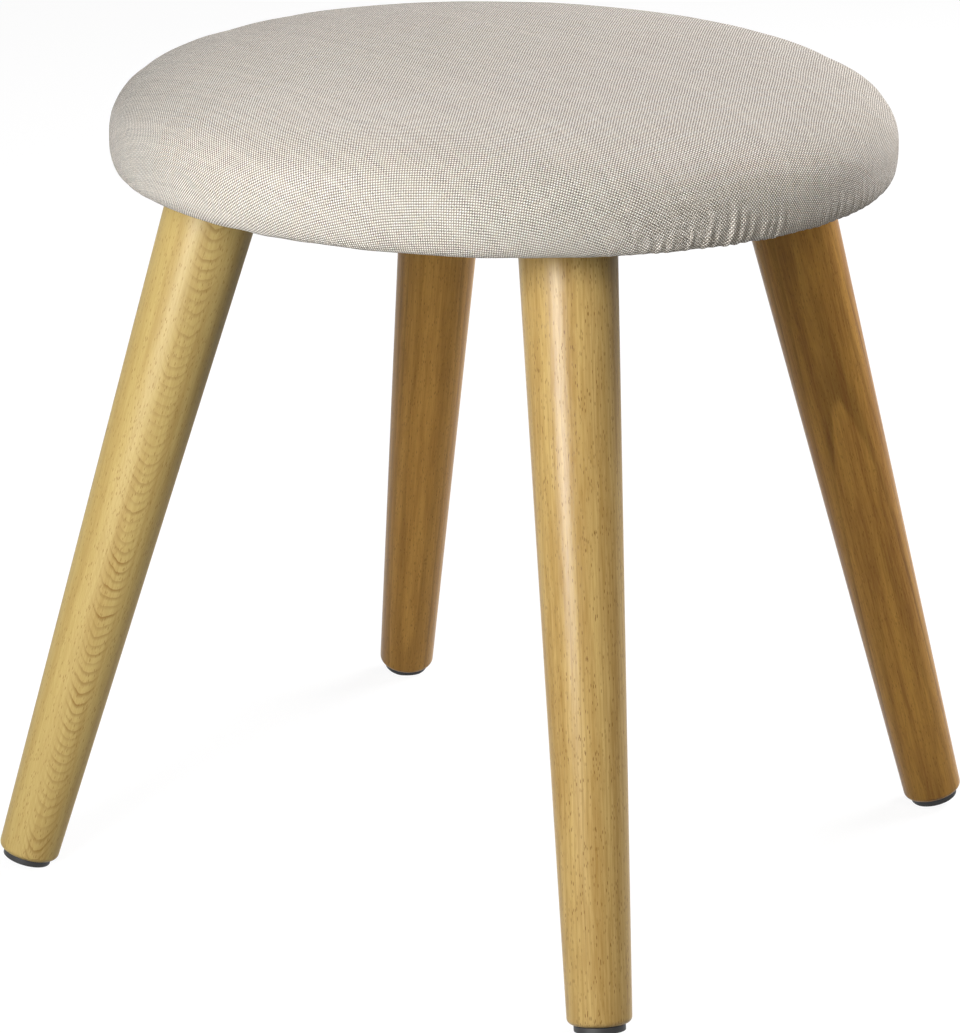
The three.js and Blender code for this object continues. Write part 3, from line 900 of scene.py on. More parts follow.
def soften(shape, edges, offset, segments):
    """Rounds the given edges."""
    bmesh.ops.bevel(shape, geom=edges, offset=offset, offset_type="OFFSET", segments=segments,
                    profile=0.5, affect="EDGES", material=-1)


def rod(radius, low, high, steps, place=(0, 0)):
    """A round cutter between two heights."""
    shape = spun([(0, low), (radius, low), (radius, high), (0, high)], steps)
    return moved(shape, Matrix.Translation((*place, 0)))


def block(low, high):
    """A square cutter between two corners."""
    shape = bmesh.new()
    bmesh.ops.create_cube(shape, size=1)
    size = Vector(high) - Vector(low)
    middle = (Vector(high) + Vector(low)) / 2
    return moved(shape, Matrix.LocRotScale(middle, None, size))


def corner_turn(corner):
    """The turn that takes a part made on the X axis round to its leg's corner."""
    top = leg_frames[corner].translation
    return Matrix.Rotation(math.atan2(top.y, top.x), 4, "Z")


print("joining and cutting ready")

# %% [markdown]
# ## Foam
# The pad is a round of yellowish upholstery foam that lies over the board and laps down round its
# rim. It fills the cover, so its outer face follows the same outline and the same hollows. The
# underside is stepped for the board. Open-cell foam shows as fine pits, drawn as small cells of
# different depth, with painted shade darkening the middle of each pit.

# %% Foam material
FOAM_COLOUR = (0.80, 0.72, 0.45, 1)
# the darker colour is both the foam's blotchy tone and the painted shade in the middle of each pit
FOAM_DARK_AND_PIT_SHADE = (0.62, 0.53, 0.29, 1)
FOAM_CELL = 1.1 * MM
FOAM_RELIEF = 0.4 * MM
FOAM_PIT = (0.1, 0.7)  # of a cell's size: from its dark middle to its light edge
PIT_SHADE_SHARE = 0.75
FOAM_BLOTCHES = 18.0


def foam_material():
    material, tree, shader = new_material("yellow_foam", Roughness=0.95, Specular_IOR_Level=0.2)
    place = place_on_object(tree)
    cells = node(tree, "ShaderNodeTexVoronoi", {"Vector": place, "Scale": 1 / FOAM_CELL})
    depth = ramp(tree, cells.outputs["Distance"], *FOAM_PIT)
    shade = blend(tree, clouds(tree, place, FOAM_BLOTCHES), FOAM_DARK_AND_PIT_SHADE, FOAM_COLOUR)
    # painted shade: each pit darkens towards its middle
    colour = blend(tree, times(tree, depth, PIT_SHADE_SHARE), FOAM_DARK_AND_PIT_SHADE, shade)
    send(tree, shader, Base_Color=colour, Normal=bump(tree, depth, 0.6, FOAM_RELIEF))
    return material


# %% Make the foam pad
FOAM_DEPTH = 1.3 * MM  # under the cover's outer face
FOAM_LOW = HEM_HEIGHT + FOAM_DEPTH
BOARD_LIP = 178.4 * MM
LIP_MARGIN = 0.4 * MM
LIP_SEARCH = 0.25 * MM
OVER_BOARD = 358.6 * MM


def only(kind, items):
    """The vertices, or the edges, of what an operator gives back."""
    return [item for item in items if isinstance(item, kind)]


def drawn_in(shape, edges, radius, height):
    """Extrudes an open ring to a new radius and height, and gives the new ring."""
    grown = bmesh.ops.extrude_edge_only(shape, edges=edges)["geom"]
    for vertex in only(bmesh.types.BMVert, grown):
        around = vertex.co.xy.normalized() * radius
        vertex.co = (around.x, around.y, height)
    return only(bmesh.types.BMEdge, grown)


def foam_shape():
    lowest = CLOTH_REACH
    while (outline_at(lowest) + outward_at(lowest) * -FOAM_DEPTH).x < BOARD_LIP + LIP_MARGIN:
        lowest -= LIP_SEARCH
    rings = ring_places(0.0, lowest, BASE_SPACING) + [lowest]
    shape = blank(rings, CLOTH_REACH, 0)
    lay(shape, FOAM_DEPTH, hollow_at)
    ring = [edge for edge in shape.edges if edge.is_boundary]
    ring = drawn_in(shape, ring, BOARD_LIP, FOAM_LOW)
    ring = drawn_in(shape, ring, BOARD_LIP, OVER_BOARD)
    bmesh.ops.edgeloop_fill(shape, edges=ring)
    return facing_out(shape)


foam = keep("seat_foam", foam_shape(), foam_material(), "foam_pad")

# %% [markdown]
# ## Seat board
# The board is a disc of birch plywood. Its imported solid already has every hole, so it stays as it
# is and only gets its finish: pale face veneer with a fine grain, and thin plies that alternate
# between light and dark round the edge.

# %% Plywood material
PLY_THICKNESS = 1.5 * MM
VENEER_LIGHT = (0.66, 0.48, 0.26, 1)
VENEER_DARK = (0.50, 0.32, 0.15, 1)
PLY_CONTRAST = 0.55
GRAIN_RATE, GRAIN_SHARE = 260.0, 0.25
VENEER_RATES = (12.0, 420.0, 200.0)
VENEER_SWIRL = 0.4
VENEER_RELIEF = 0.1 * MM


def plywood_material():
    material, tree, shader = new_material("birch_plywood", Roughness=0.7)
    place = place_on_object(tree)
    grain = clouds(tree, place, GRAIN_RATE, 4.0)
    long_grain = vector_maths(tree, "MULTIPLY", place, VENEER_RATES)[0]
    veneer = clouds(tree, long_grain, 1.0, 4.0, VENEER_SWIRL)
    ply = maths(tree, "FLOOR", maths(tree, "DIVIDE", parts_of(tree, place)[2], PLY_THICKNESS))
    dark_ply = maths(tree, "MODULO", ply, 2.0)
    facing = node(tree, "ShaderNodeNewGeometry").outputs["True Normal"]
    edge = maths(tree, "LESS_THAN", maths(tree, "ABSOLUTE", parts_of(tree, facing)[2]), 0.5)
    face = blend(tree, veneer, VENEER_DARK, VENEER_LIGHT)
    mixed = blend(tree, times(tree, grain, GRAIN_SHARE), face, VENEER_LIGHT)
    colour = blend(tree, times(tree, edge, dark_ply, PLY_CONTRAST), mixed, VENEER_DARK)
    send(tree, shader, Base_Color=colour, Normal=bump(tree, veneer, 0.4, VENEER_RELIEF))
    return material


def refinish(name, material):
    """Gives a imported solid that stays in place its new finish."""
    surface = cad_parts[name].data
    surface.materials.clear()
    surface.materials.append(material)


refinish("seat_board", plywood_material())
print("seat board finished")

# %% [markdown]
# ## Dust cover
# Black spun-bonded cloth closes the underside. It is thin and stapled taut, steps down over the
# turned-in edge of the cover, and hangs a little slack in the middle. It is made as one thin
# closed skin and then pierced for the screws and for the bolts. The cloth is pressed in a close
# pattern of small dots, which is what its dull sparkle comes from.

# %% Dust cloth material
DOT_SPACING = 1.4 * MM
DUST_COLOUR = (0.013, 0.012, 0.011, 1)
DUST_FIBRE = (0.035, 0.033, 0.031, 1)
DUST_RELIEF = 0.15 * MM
FIBRE_BLOTCHES = 1400.0  # a metre
DOT_RANGE = (0.2, 1.5)  # of the two waves' sum: from beside a dot to its middle
STRAND_RANGE = (0.45, 0.7)
STRAND_HEIGHT = 0.3  # a share of the relief; the dots have the rest


def dust_cloth_material():
    material, tree, shader = new_material("black_dust_cloth", Roughness=0.85)
    place = place_on_object(tree)
    diagonal = node(tree, "ShaderNodeMapping", {"Vector": place, "Rotation": (0, 0, math.pi / 4),
                                                "Scale": (1 / DOT_SPACING,) * 3})
    flat = parts_of(tree, diagonal.outputs[0])
    waves = [maths(tree, "COSINE", times(tree, flat[side], FULL_TURN)) for side in (0, 1)]
    dots = ramp(tree, plus(tree, *waves), *DOT_RANGE)
    strands = ramp(tree, clouds(tree, place, FIBRE_BLOTCHES, 3.0, 1.5), *STRAND_RANGE)
    raised = minus(tree, 1.0, dots)
    colour = blend(tree, times(tree, strands, raised), DUST_COLOUR, DUST_FIBRE)
    height = plus(tree, times(tree, raised, 1 - STRAND_HEIGHT), times(tree, strands, STRAND_HEIGHT))
    send(tree, shader, Base_Color=colour, Normal=bump(tree, height, 0.6, DUST_RELIEF))
    return material


# %% Make the dust cover
DUST_THICKNESS = 0.6 * MM
DUST_FLAT_LOW = 342.4 * MM
DUST_RIM_LOW = 341.1 * MM
DUST_FLAT_RADIUS = 162.1 * MM
DUST_STEP_FOOT = 163.6 * MM
DUST_RADIUS = 173.1 * MM
DUST_MITRE = 0.224 * MM
DUST_SPACING = 5 * MM
SLACK_RADIUS = 92 * MM
SLACK_DROP = 1.3 * MM
SLACK_WAVE, SLACK_RATE = 0.5, 30
DUST_STEPS = 144
RIM_STEPS = 6
RELIEF_STEPS = 48
SCREW_HOLE_STEPS = 20
CUTTER_REACH = 5 * MM  # how far a cutter stands out of what it cuts
PLATE_CENTRE = 132.51 * MM
SCREW_OFFSET = 21 * MM
RELIEF_CENTRE = 134.82 * MM
RELIEF_RADIUS = 11.51 * MM
SCREW_HOLE = 2.3 * MM
SCREW_PLACES = [(PLATE_CENTRE + outward * SCREW_OFFSET, sideways * SCREW_OFFSET)
                for outward, sideways in ((1, 1), (1, -1), (-1, -1), (-1, 1))]


def slack(vertex):
    """The middle of the cloth hangs a little, with a few soft waves."""
    share = max(0.0, 1 - (vertex.co.xy.length / SLACK_RADIUS) ** 2)
    place = Vector((vertex.co.x * SLACK_RATE, vertex.co.y * SLACK_RATE, 0.4))
    return SLACK_DROP * share ** 2 * (1 + SLACK_WAVE * noise.noise(place))


def dust_shape():
    rings = ring_places(0.0, DUST_FLAT_RADIUS, DUST_SPACING)
    below = [(radius, DUST_FLAT_LOW) for radius in rings]
    below += [(DUST_FLAT_RADIUS, DUST_FLAT_LOW), (DUST_STEP_FOOT, DUST_RIM_LOW)]
    rim = arc((DUST_RADIUS - DUST_THICKNESS / 2, DUST_RIM_LOW + DUST_THICKNESS / 2),
              DUST_THICKNESS / 2, -90, 90, RIM_STEPS)
    above = [(DUST_STEP_FOOT + DUST_MITRE, DUST_RIM_LOW + DUST_THICKNESS),
             (DUST_FLAT_RADIUS + DUST_MITRE, DUST_FLAT_LOW + DUST_THICKNESS)]
    above += [(radius, DUST_FLAT_LOW + DUST_THICKNESS) for radius in reversed(rings)]
    shape = spun(below + rim + above, DUST_STEPS)
    for vertex in shape.verts:
        vertex.co.z -= slack(vertex)
    low, high = DUST_RIM_LOW - CUTTER_REACH, DUST_FLAT_LOW + CUTTER_REACH
    tools = []
    for corner in CORNERS:
        turn = corner_turn(corner)
        tools.append(moved(rod(RELIEF_RADIUS, low, high, RELIEF_STEPS, (RELIEF_CENTRE, 0)), turn))
        tools += [moved(rod(SCREW_HOLE, low, high, SCREW_HOLE_STEPS, place), turn)
                  for place in SCREW_PLACES]
    return joined(shape, tools)


dust = keep("dust_cloth", dust_shape(), dust_cloth_material(), "dust_cover")

# %% [markdown]
# ## Beech
# The legs are turned from beech and lacquered. Beech has fine growth rings and, all over, the
# short dark flecks of its rays. A turned leg is a cone cut out of a board, so what a side shows
# depends on where the tree's middle, the pith, was: straight lines when it was far to the side,
# and nested arches when it was behind. Each leg therefore has its own pith line, with its distance
# and its lean. One shader group does the wood, and each leg's material feeds it with coordinates
# from the leg's own frame and from its pith.

# %% Beech shader group
# blotches or cells a metre, across and along the leg
FLECK_RATE = (1450.0, 270.0)
STREAK_RATE = (170.0, 6.0)
FIBRE_RATE = (1100.0, 55.0)
WOBBLE_RATE = (28.0, 7.0)
TREMBLE_RATE = (160.0, 26.0)
PATCH_RATE = (70.0, 12.0)
FLECK_SIZE = 0.33
FLECK_CHANCE = (0.15, 0.75)  # of a cell's random number: below it has no fleck, above a full one
RING_WOBBLE = 4.8 * MM
RING_TREMBLE = 0.72 * MM
LATE_WOOD = (0.45, 0.92)  # where in a year's growth the dark late wood begins and is darkest
YEAR_CHANGE = 0.7  # how much the years differ in strength
FIBRE_SHARE = 0.45  # of the light and dark of the wood; the streaks have the rest
FIBRE_DULLING = 0.06
FIBRE_HEIGHT = 0.4
STREAK_RANGE = (0.37, 0.63)
FIBRE_RANGE = (0.35, 0.65)
PATCH_EFFECT = (0.3, 0.65, 0.35, 1.0)  # a range of noise, and the rings' strength at its ends
FIGURE_FADE = (0.3, 1.0, 1.0, 0.15)  # shares of the figure's half width, and the strength there


def beech_group():
    kinds = {"Leg Place": "Vector", "Pith Place": "Vector", "Ring Spacing": "Float",
             "Ring Strength": "Float", "Figure Width": "Float", "Fleck Strength": "Float",
             "Dullness": "Float", "Light": "Color", "Dark": "Color", "Ring": "Color"}
    results = {"Color": "Color", "Height": "Float", "Roughness": "Float"}
    group, given, made = shader_group("beech", kinds, results)

    def noise_of(place, rates, detail=3.0, distortion=0.0):
        return clouds(group, stretched(group, place, *rates), 1.0, detail, distortion)

    leg_place, pith_place = given["Leg Place"], given["Pith Place"]
    from_pith = vector_maths(group, "LENGTH", stretched(group, pith_place, 1.0, 0.0))["Value"]
    wobble = minus(group, noise_of(pith_place, WOBBLE_RATE, 2.0), 0.5)
    tremble = minus(group, noise_of(pith_place, TREMBLE_RATE, 2.0), 0.5)
    bent = plus(group, from_pith, times(group, wobble, RING_WOBBLE),
                times(group, tremble, RING_TREMBLE))
    years = maths(group, "DIVIDE", bent, given["Ring Spacing"])
    season = maths(group, "FRACT", years)
    late = times(group, ramp(group, season, *LATE_WOOD),
                 ramp(group, season, LATE_WOOD[1], 1.0, 1.0, 0.0))
    year = plus(group, times(group, random_of(group, maths(group, "FLOOR", years)), YEAR_CHANGE),
                1 - YEAR_CHANGE)
    patchy = ramp(group, noise_of(leg_place, PATCH_RATE), *PATCH_EFFECT)
    beside = maths(group, "ABSOLUTE", parts_of(group, pith_place)[1])
    share = maths(group, "DIVIDE", beside, given["Figure Width"])
    in_figure = ramp(group, share, *FIGURE_FADE)
    ring = times(group, late, patchy, year, in_figure, given["Ring Strength"])
    streak = ramp(group, noise_of(leg_place, STREAK_RATE, 4.0), *STREAK_RANGE)
    fibre = ramp(group, noise_of(leg_place, FIBRE_RATE, 3.0, 0.8), *FIBRE_RANGE)
    tone = plus(group, times(group, streak, 1 - FIBRE_SHARE), times(group, fibre, FIBRE_SHARE))
    wood = blend(group, tone, given["Dark"], given["Light"])
    ringed = blend(group, ring, wood, given["Ring"])
    cells = node(group, "ShaderNodeTexVoronoi", {"Vector": stretched(group, leg_place, *FLECK_RATE),
                                                 "Scale": 1.0}).outputs
    chance = ramp(group, parts_of(group, cells["Color"])[0], *FLECK_CHANCE)
    fleck = times(group, ramp(group, cells["Distance"], FLECK_SIZE, FLECK_SIZE * 0.5), chance,
                  given["Fleck Strength"])
    send(group, made, Color=blend(group, fleck, ringed, given["Ring"]),
         Height=minus(group, times(group, fibre, FIBRE_HEIGHT), fleck),
         Roughness=plus(group, times(group, fibre, FIBRE_DULLING), given["Dullness"]))
    return group


beech = beech_group()
print("beech group:", len(beech.nodes), "nodes")

# %% [markdown]
# ## Four legs, four pieces of wood
# The front left leg shows a strip of small nested arches that open upwards, because its pith lies
# behind it and leans; its lacquer is duller than the others'. The front right leg is
# straight-grained and strongly flecked. The rear right one has a few wide soft arches low down, and
# the rear left one is plain. Both rear legs are coloured browner and more orange than the front
# ones, which is painted shade: the colour the wood shows where it stands in shade.

# %% Wood for each leg
LACQUER_GLOSS = 0.14
WOOD_RELIEF = 0.12 * MM
WOOD = {
    # pith: degrees round the leg, distance, lean in degrees; ring spacing; strength and half width
    # of the figure; strength of the flecks; roughness of the lacquer; colours
    "front_left": dict(pith=(-88, 95, 8), spacing=0.8, rings=1.0, width=8, flecks=0.8,
                       dull=0.42, light=(0.55, 0.41, 0.152), dark=(0.45, 0.31, 0.102),
                       ring=(0.28, 0.155, 0.038)),
    "front_right": dict(pith=(78, 70, 0.3), spacing=1.7, rings=0.35, width=60, flecks=0.9,
                        dull=0.28, light=(0.53, 0.37, 0.135), dark=(0.37, 0.225, 0.065),
                        ring=(0.17, 0.08, 0.018)),
    # painted shade: the rear legs' browner, more orange colours copy the wood as it looks in shade
    "rear_right": dict(pith=(78, 55, -3.5), spacing=4.5, rings=0.6, width=60, flecks=0.5,
                       dull=0.28, light=(0.555, 0.30, 0.066), dark=(0.345, 0.16, 0.036),
                       ring=(0.13, 0.055, 0.010)),
    "rear_left": dict(pith=(-12, 60, -1.2), spacing=3.0, rings=0.5, width=60, flecks=0.7,
                      dull=0.28, light=(0.575, 0.315, 0.076), dark=(0.40, 0.20, 0.044),
                      ring=(0.19, 0.085, 0.018)),
}


def in_frame(tree, place, matrix):
    """Object coordinates as seen from a frame on the piece."""
    inputs = {"Vector": place, "Location": matrix.translation, "Rotation": matrix.to_euler()}
    return node(tree, "ShaderNodeMapping", inputs, vector_type="TEXTURE").outputs[0]


def pith_frame(degrees, distance, lean):
    """The pith's own frame, inside the leg's: Z along it, leaning towards the leg's axis."""
    round_leg = Matrix.Rotation(math.radians(degrees), 4, "Z")
    away = Matrix.Translation((distance * MM, 0, 0))
    return round_leg @ away @ Matrix.Rotation(math.radians(lean), 4, "Y")


def beech_material(corner, wood):
    material, tree, shader = new_material("beech_" + corner, Specular_IOR_Level=LACQUER_GLOSS)
    place = place_on_object(tree)
    leg = leg_frames[corner]
    values = {"Leg Place": in_frame(tree, place, leg),
              "Pith Place": in_frame(tree, place, leg @ pith_frame(*wood["pith"])),
              "Ring Spacing": wood["spacing"] * MM, "Ring Strength": wood["rings"],
              "Figure Width": wood["width"] * MM, "Fleck Strength": wood["flecks"],
              "Dullness": wood["dull"], "Light": (*wood["light"], 1),
              "Dark": (*wood["dark"], 1), "Ring": (*wood["ring"], 1)}
    made = node(tree, "ShaderNodeGroup", values, node_tree=beech).outputs
    send(tree, shader, Base_Color=made["Color"], Roughness=made["Roughness"],
         Normal=bump(tree, made["Height"], 0.35, WOOD_RELIEF))
    return material


beech_finish = {corner: beech_material(corner, wood) for corner, wood in WOOD.items()}
print("four beech finishes")

# %% [markdown]
# ## Legs
# Each leg is one long taper turned on a lathe, with a broken edge at the top and a rounded foot.
# A bore takes the wood thread of the hanger bolt from above, and a thin one the glide's nail from
# below. The leg is drawn upright in its own frame and then set into its corner at the splay.

# %% Turn the legs
LEG_STEPS = 96
CHAMFER_STEPS, FOOT_STEPS = 4, 8
LEG_TOP_RADIUS = 22 * MM
LEG_CHAMFER = 1 * MM
FOOT_RADIUS = 14.65 * MM
FOOT_ROUNDING = 3 * MM
FOOT_END = -340.3 * MM
BOLT_BORE = (4.3 * MM, -38.3 * MM)
NAIL_BORE = (1.3 * MM, -327.7 * MM)


def leg_shape():
    top_edge = arc((LEG_TOP_RADIUS - LEG_CHAMFER, -LEG_CHAMFER), LEG_CHAMFER, 90, 0, CHAMFER_STEPS)
    foot = arc((FOOT_RADIUS - FOOT_ROUNDING, FOOT_END + FOOT_ROUNDING), FOOT_ROUNDING,
               0, -90, FOOT_STEPS)
    bolt_radius, bolt_end = BOLT_BORE
    nail_radius, nail_end = NAIL_BORE
    outline = [(0, bolt_end), (bolt_radius, bolt_end), (bolt_radius, 0), *top_edge, *foot,
               (nail_radius, FOOT_END), (nail_radius, nail_end), (0, nail_end)]
    return spun(outline, LEG_STEPS)


for corner in CORNERS:
    shape = moved(leg_shape(), leg_frames[corner])
    keep("turned_leg_" + corner, shape, beech_finish[corner], "leg_" + corner)

# %% [markdown]
# ## Glides
# A glide is a small moulded disc of black plastic nailed under the foot, so that the wood doesn't
# drag on the floor. Its lower edge is rounded, and wear has cut a small flat where it stands,
# because the foot meets the floor at an angle. The plastic has the fine matt grain of its mould,
# and it is scuffed in patches. The steel further on is patchy and grained too, so one shader group
# makes both patterns, and each material gives it its own rates.

# %% Patches and grain


def patchy_group():
    """Soft patches and a fine grain. The rates are blotches a metre."""
    kinds = {"Place": "Vector", "Patch Rate": "Float", "Patch Swirl": "Float", "Grain Rate": "Float"}
    group, given, made = shader_group("patches", kinds, {"Patches": "Float", "Grain": "Float"})
    patches = clouds(group, given["Place"], given["Patch Rate"], 4.0, given["Patch Swirl"])
    send(group, made, Patches=patches, Grain=clouds(group, given["Place"], given["Grain Rate"], 2.0))
    return group


def patches_and_grain(tree, patch_rate, grain_rate, swirl=0.0):
    values = {"Place": place_on_object(tree), "Patch Rate": patch_rate, "Patch Swirl": swirl,
              "Grain Rate": grain_rate}
    made = node(tree, "ShaderNodeGroup", values, node_tree=patchy).outputs
    return made["Patches"], made["Grain"]


patchy = patchy_group()
print("patches group:", len(patchy.nodes), "nodes")

# %% Black plastic
PLASTIC_COLOUR = (0.008, 0.008, 0.008, 1)
PLASTIC_WEAR = (0.02, 0.02, 0.02, 1)
PLASTIC_ROUGHNESS = (0.5, 0.68)  # where it is whole and where it is scuffed
SCUFF_RATE, MOULD_GRAIN_RATE = 160.0, 1800.0
SCUFF_RANGE = (0.5, 0.75)
MOULD_RELIEF = 0.06 * MM


def plastic_material():
    material, tree, shader = new_material("black_plastic", Specular_IOR_Level=0.45)
    patches, grain = patches_and_grain(tree, SCUFF_RATE, MOULD_GRAIN_RATE)
    scuffs = ramp(tree, patches, *SCUFF_RANGE)
    send(tree, shader, Base_Color=blend(tree, scuffs, PLASTIC_COLOUR, PLASTIC_WEAR),
         Roughness=ramp(tree, scuffs, 0.0, 1.0, *PLASTIC_ROUGHNESS),
         Normal=bump(tree, grain, 0.35, MOULD_RELIEF))
    return material


# %% Mould the glides
GLIDE_RADIUS = 11.65 * MM
GLIDE_LOW = -343.6 * MM
GLIDE_TOP = -340.6 * MM
GLIDE_ROUNDING = 0.6 * MM
GLIDE_EDGE_STEPS = 6
POCKET = (3.8 * MM, -341.7 * MM)
NAIL_HOLE = 1.3 * MM


def glide_shape(corner):
    pocket_radius, pocket_top = POCKET
    edge = arc((GLIDE_RADIUS - GLIDE_ROUNDING, GLIDE_LOW + GLIDE_ROUNDING), GLIDE_ROUNDING,
               0, -90, GLIDE_EDGE_STEPS)
    outline = [(NAIL_HOLE, GLIDE_TOP), (GLIDE_RADIUS, GLIDE_TOP), *edge, (pocket_radius, GLIDE_LOW),
               (pocket_radius, pocket_top), (NAIL_HOLE, pocket_top), (NAIL_HOLE, GLIDE_TOP)]
    shape = moved(spun(outline, LEG_STEPS), leg_frames[corner])
    geometry = shape.verts[:] + shape.edges[:] + shape.faces[:]
    cut = bmesh.ops.bisect_plane(shape, geom=geometry, plane_co=(0, 0, 0), plane_no=(0, 0, -1),
                                 clear_outer=True)["geom_cut"]
    bmesh.ops.edgeloop_fill(shape, edges=only(bmesh.types.BMEdge, cut))
    return facing_out(shape)


plastic = plastic_material()
for corner in CORNERS:
    keep("moulded_glide_" + corner, glide_shape(corner), plastic, "glide_" + corner)

# %% [markdown]
# ## Zinc-plated steel
# The screws, plates, nuts, bolts, nails and staples are all mild steel with a thin bright zinc
# coat. Plating is never quite even: it has cloudy patches and fine draw marks, so the finish
# changes a little in colour and in gloss from place to place.

# %% Steel material
ZINC_BRIGHT = (0.56, 0.57, 0.58, 1)
ZINC_DULL = (0.40, 0.405, 0.41, 1)
ZINC_ROUGHNESS = (0.28, 0.46)
ZINC_CLOUD_RATE, ZINC_GRAIN_RATE = 90.0, 1500.0
ZINC_SWIRL = 0.6
ZINC_COLOUR_RANGE, ZINC_GLOSS_RANGE = (0.35, 0.7), (0.3, 0.75)  # of the patches
ZINC_RELIEF = 0.04 * MM


def steel_material():
    material, tree, shader = new_material("zinc_steel", Metallic=1.0)
    cloudy, grain = patches_and_grain(tree, ZINC_CLOUD_RATE, ZINC_GRAIN_RATE, ZINC_SWIRL)
    dulling = ramp(tree, cloudy, *ZINC_COLOUR_RANGE)
    send(tree, shader, Base_Color=blend(tree, dulling, ZINC_BRIGHT, ZINC_DULL),
         Roughness=ramp(tree, cloudy, *ZINC_GLOSS_RANGE, *ZINC_ROUGHNESS),
         Normal=bump(tree, grain, 0.25, ZINC_RELIEF))
    return material


steel = steel_material()
for corner in CORNERS:
    refinish("plate_nut_" + corner, steel)
    refinish("hanger_bolt_" + corner, steel)
print("nuts and bolts finished")

# %% [markdown]
# ## Leg plates
# A plate is pressed from 2 mm steel: a square with round corners, lying flat under the board, and
# a boss that is pushed down and tilted until it is square to the leg. The nut sits in the boss and
# the leg screws up against its face. The boss is a short cone; its solid is joined to the square,
# and the inside of the cone, the bolt hole and the screw holes are cut away.

# %% Press the plates
PLATE_LOW = 340.1 * MM
PLATE_TOP = 342.1 * MM
PLATE_HALF = 28 * MM
PLATE_CORNER = 8 * MM
PLATE_EDGE = 0.35 * MM
BOSS_FACE = 0.3 * MM  # above the leg's top
BOSS_RADIUS = 14 * MM
BOSS_FLARE = 0.556
BOSS_EDGE = 1.4 * MM
BOSS_REACH = 30 * MM
STEEL_THICKNESS = 2 * MM
BOLT_HOLE = 4.5 * MM
PLATE_HOLE = 2.5 * MM
FAR = 60 * MM  # past anything of the boss
BOSS_STEPS, BOSS_EDGE_STEPS = 64, 6
BOLT_HOLE_STEPS, PLATE_HOLE_STEPS = 48, 32
CORNER_SEGMENTS, RIM_SEGMENTS = 8, 2
RIM_ANGLE = math.radians(60)  # the flat's rims are sharper than this, its corners' facets are not


def boss_cone(radius, face, rounding):
    """A cone square to the leg that widens upwards from its face."""
    slope = math.degrees(math.atan(BOSS_FLARE))
    turn = rounding * math.tan(math.radians(90 - slope) / 2)
    centre = (radius - turn, face + rounding)
    edge = arc(centre, rounding, -90, -slope, BOSS_EDGE_STEPS) if rounding else [(radius, face)]
    outline = [(0, face), *edge, (radius + BOSS_REACH * BOSS_FLARE, face + BOSS_REACH),
               (0, face + BOSS_REACH)]
    return spun(outline, BOSS_STEPS)


def plate_flat():
    """The square, with its corners and then its rims rounded."""
    low = (PLATE_CENTRE - PLATE_HALF, -PLATE_HALF, PLATE_LOW)
    shape = block(low, (PLATE_CENTRE + PLATE_HALF, PLATE_HALF, PLATE_TOP))
    upright = [edge for edge in shape.edges if abs(edge.verts[0].co.z - edge.verts[1].co.z) > MM]
    soften(shape, upright, PLATE_CORNER, CORNER_SEGMENTS)
    rims = [edge for edge in shape.edges if edge.calc_face_angle() > RIM_ANGLE]
    soften(shape, rims, PLATE_EDGE, RIM_SEGMENTS)
    return shape


def plate_shape(leg):
    """One plate on the X axis; leg is the leg's frame as seen from there."""
    boss = moved(boss_cone(BOSS_RADIUS, BOSS_FACE, BOSS_EDGE), leg)
    above = block((PLATE_CENTRE - FAR, -FAR, PLATE_TOP), (PLATE_CENTRE + FAR, FAR, PLATE_TOP + FAR))
    boss = joined(boss, [above])
    whole = joined(plate_flat(), [boss], "UNION")
    wall = STEEL_THICKNESS * math.hypot(1, BOSS_FLARE)
    inside = BOSS_RADIUS + STEEL_THICKNESS * BOSS_FLARE - wall
    tools = [moved(boss_cone(inside, BOSS_FACE + STEEL_THICKNESS, 0.0), leg)]
    tools.append(moved(rod(BOLT_HOLE, -CUTTER_REACH, 2 * CUTTER_REACH, BOLT_HOLE_STEPS), leg))
    low, high = PLATE_LOW - CUTTER_REACH, PLATE_TOP + CUTTER_REACH
    tools += [rod(PLATE_HOLE, low, high, PLATE_HOLE_STEPS, place) for place in SCREW_PLACES]
    return joined(whole, tools)


for corner in CORNERS:
    turn = corner_turn(corner)
    shape = moved(plate_shape(turn.inverted() @ leg_frames[corner]), turn)
    keep("pressed_plate_" + corner, shape, steel, "leg_plate_" + corner)

# %% [markdown]
# ## Screws
# Sixteen pan-head screws hold the plates. The head is a low dome with a cross recess for the
# driver, and no two are left at the same turn, so each gets its own. One screw is made and its
# copies are turned and set under their plates.

# %% Drive the screws
SCREW_SEAT = 339.8 * MM
SCREW_TIP = 353.8 * MM
SCREW_HEAD = 4 * MM
SCREW_EDGE = 0.9 * MM
SCREW_HEAD_HEIGHT = 2.4 * MM
SCREW_BEVEL = 0.15 * MM
DOME_STEPS = 8
SCREW_SHANK = 2 * MM
SCREW_ROOT = 1.6 * MM  # the shank between the ridges of its thread
SCREW_POINT = 3 * MM
SCREW_PITCH = 1.6 * MM
RIDGE_SHARES = (0.4, 0.8)  # of the pitch: down to a ridge's crest, and to the root below it
RECESS = (4.4 * MM, 1.1 * MM, 1.4 * MM)  # span, width, depth
RECESS_REACH = 1 * MM  # how far its cutter stands out of the head
SCREW_STEPS = 32


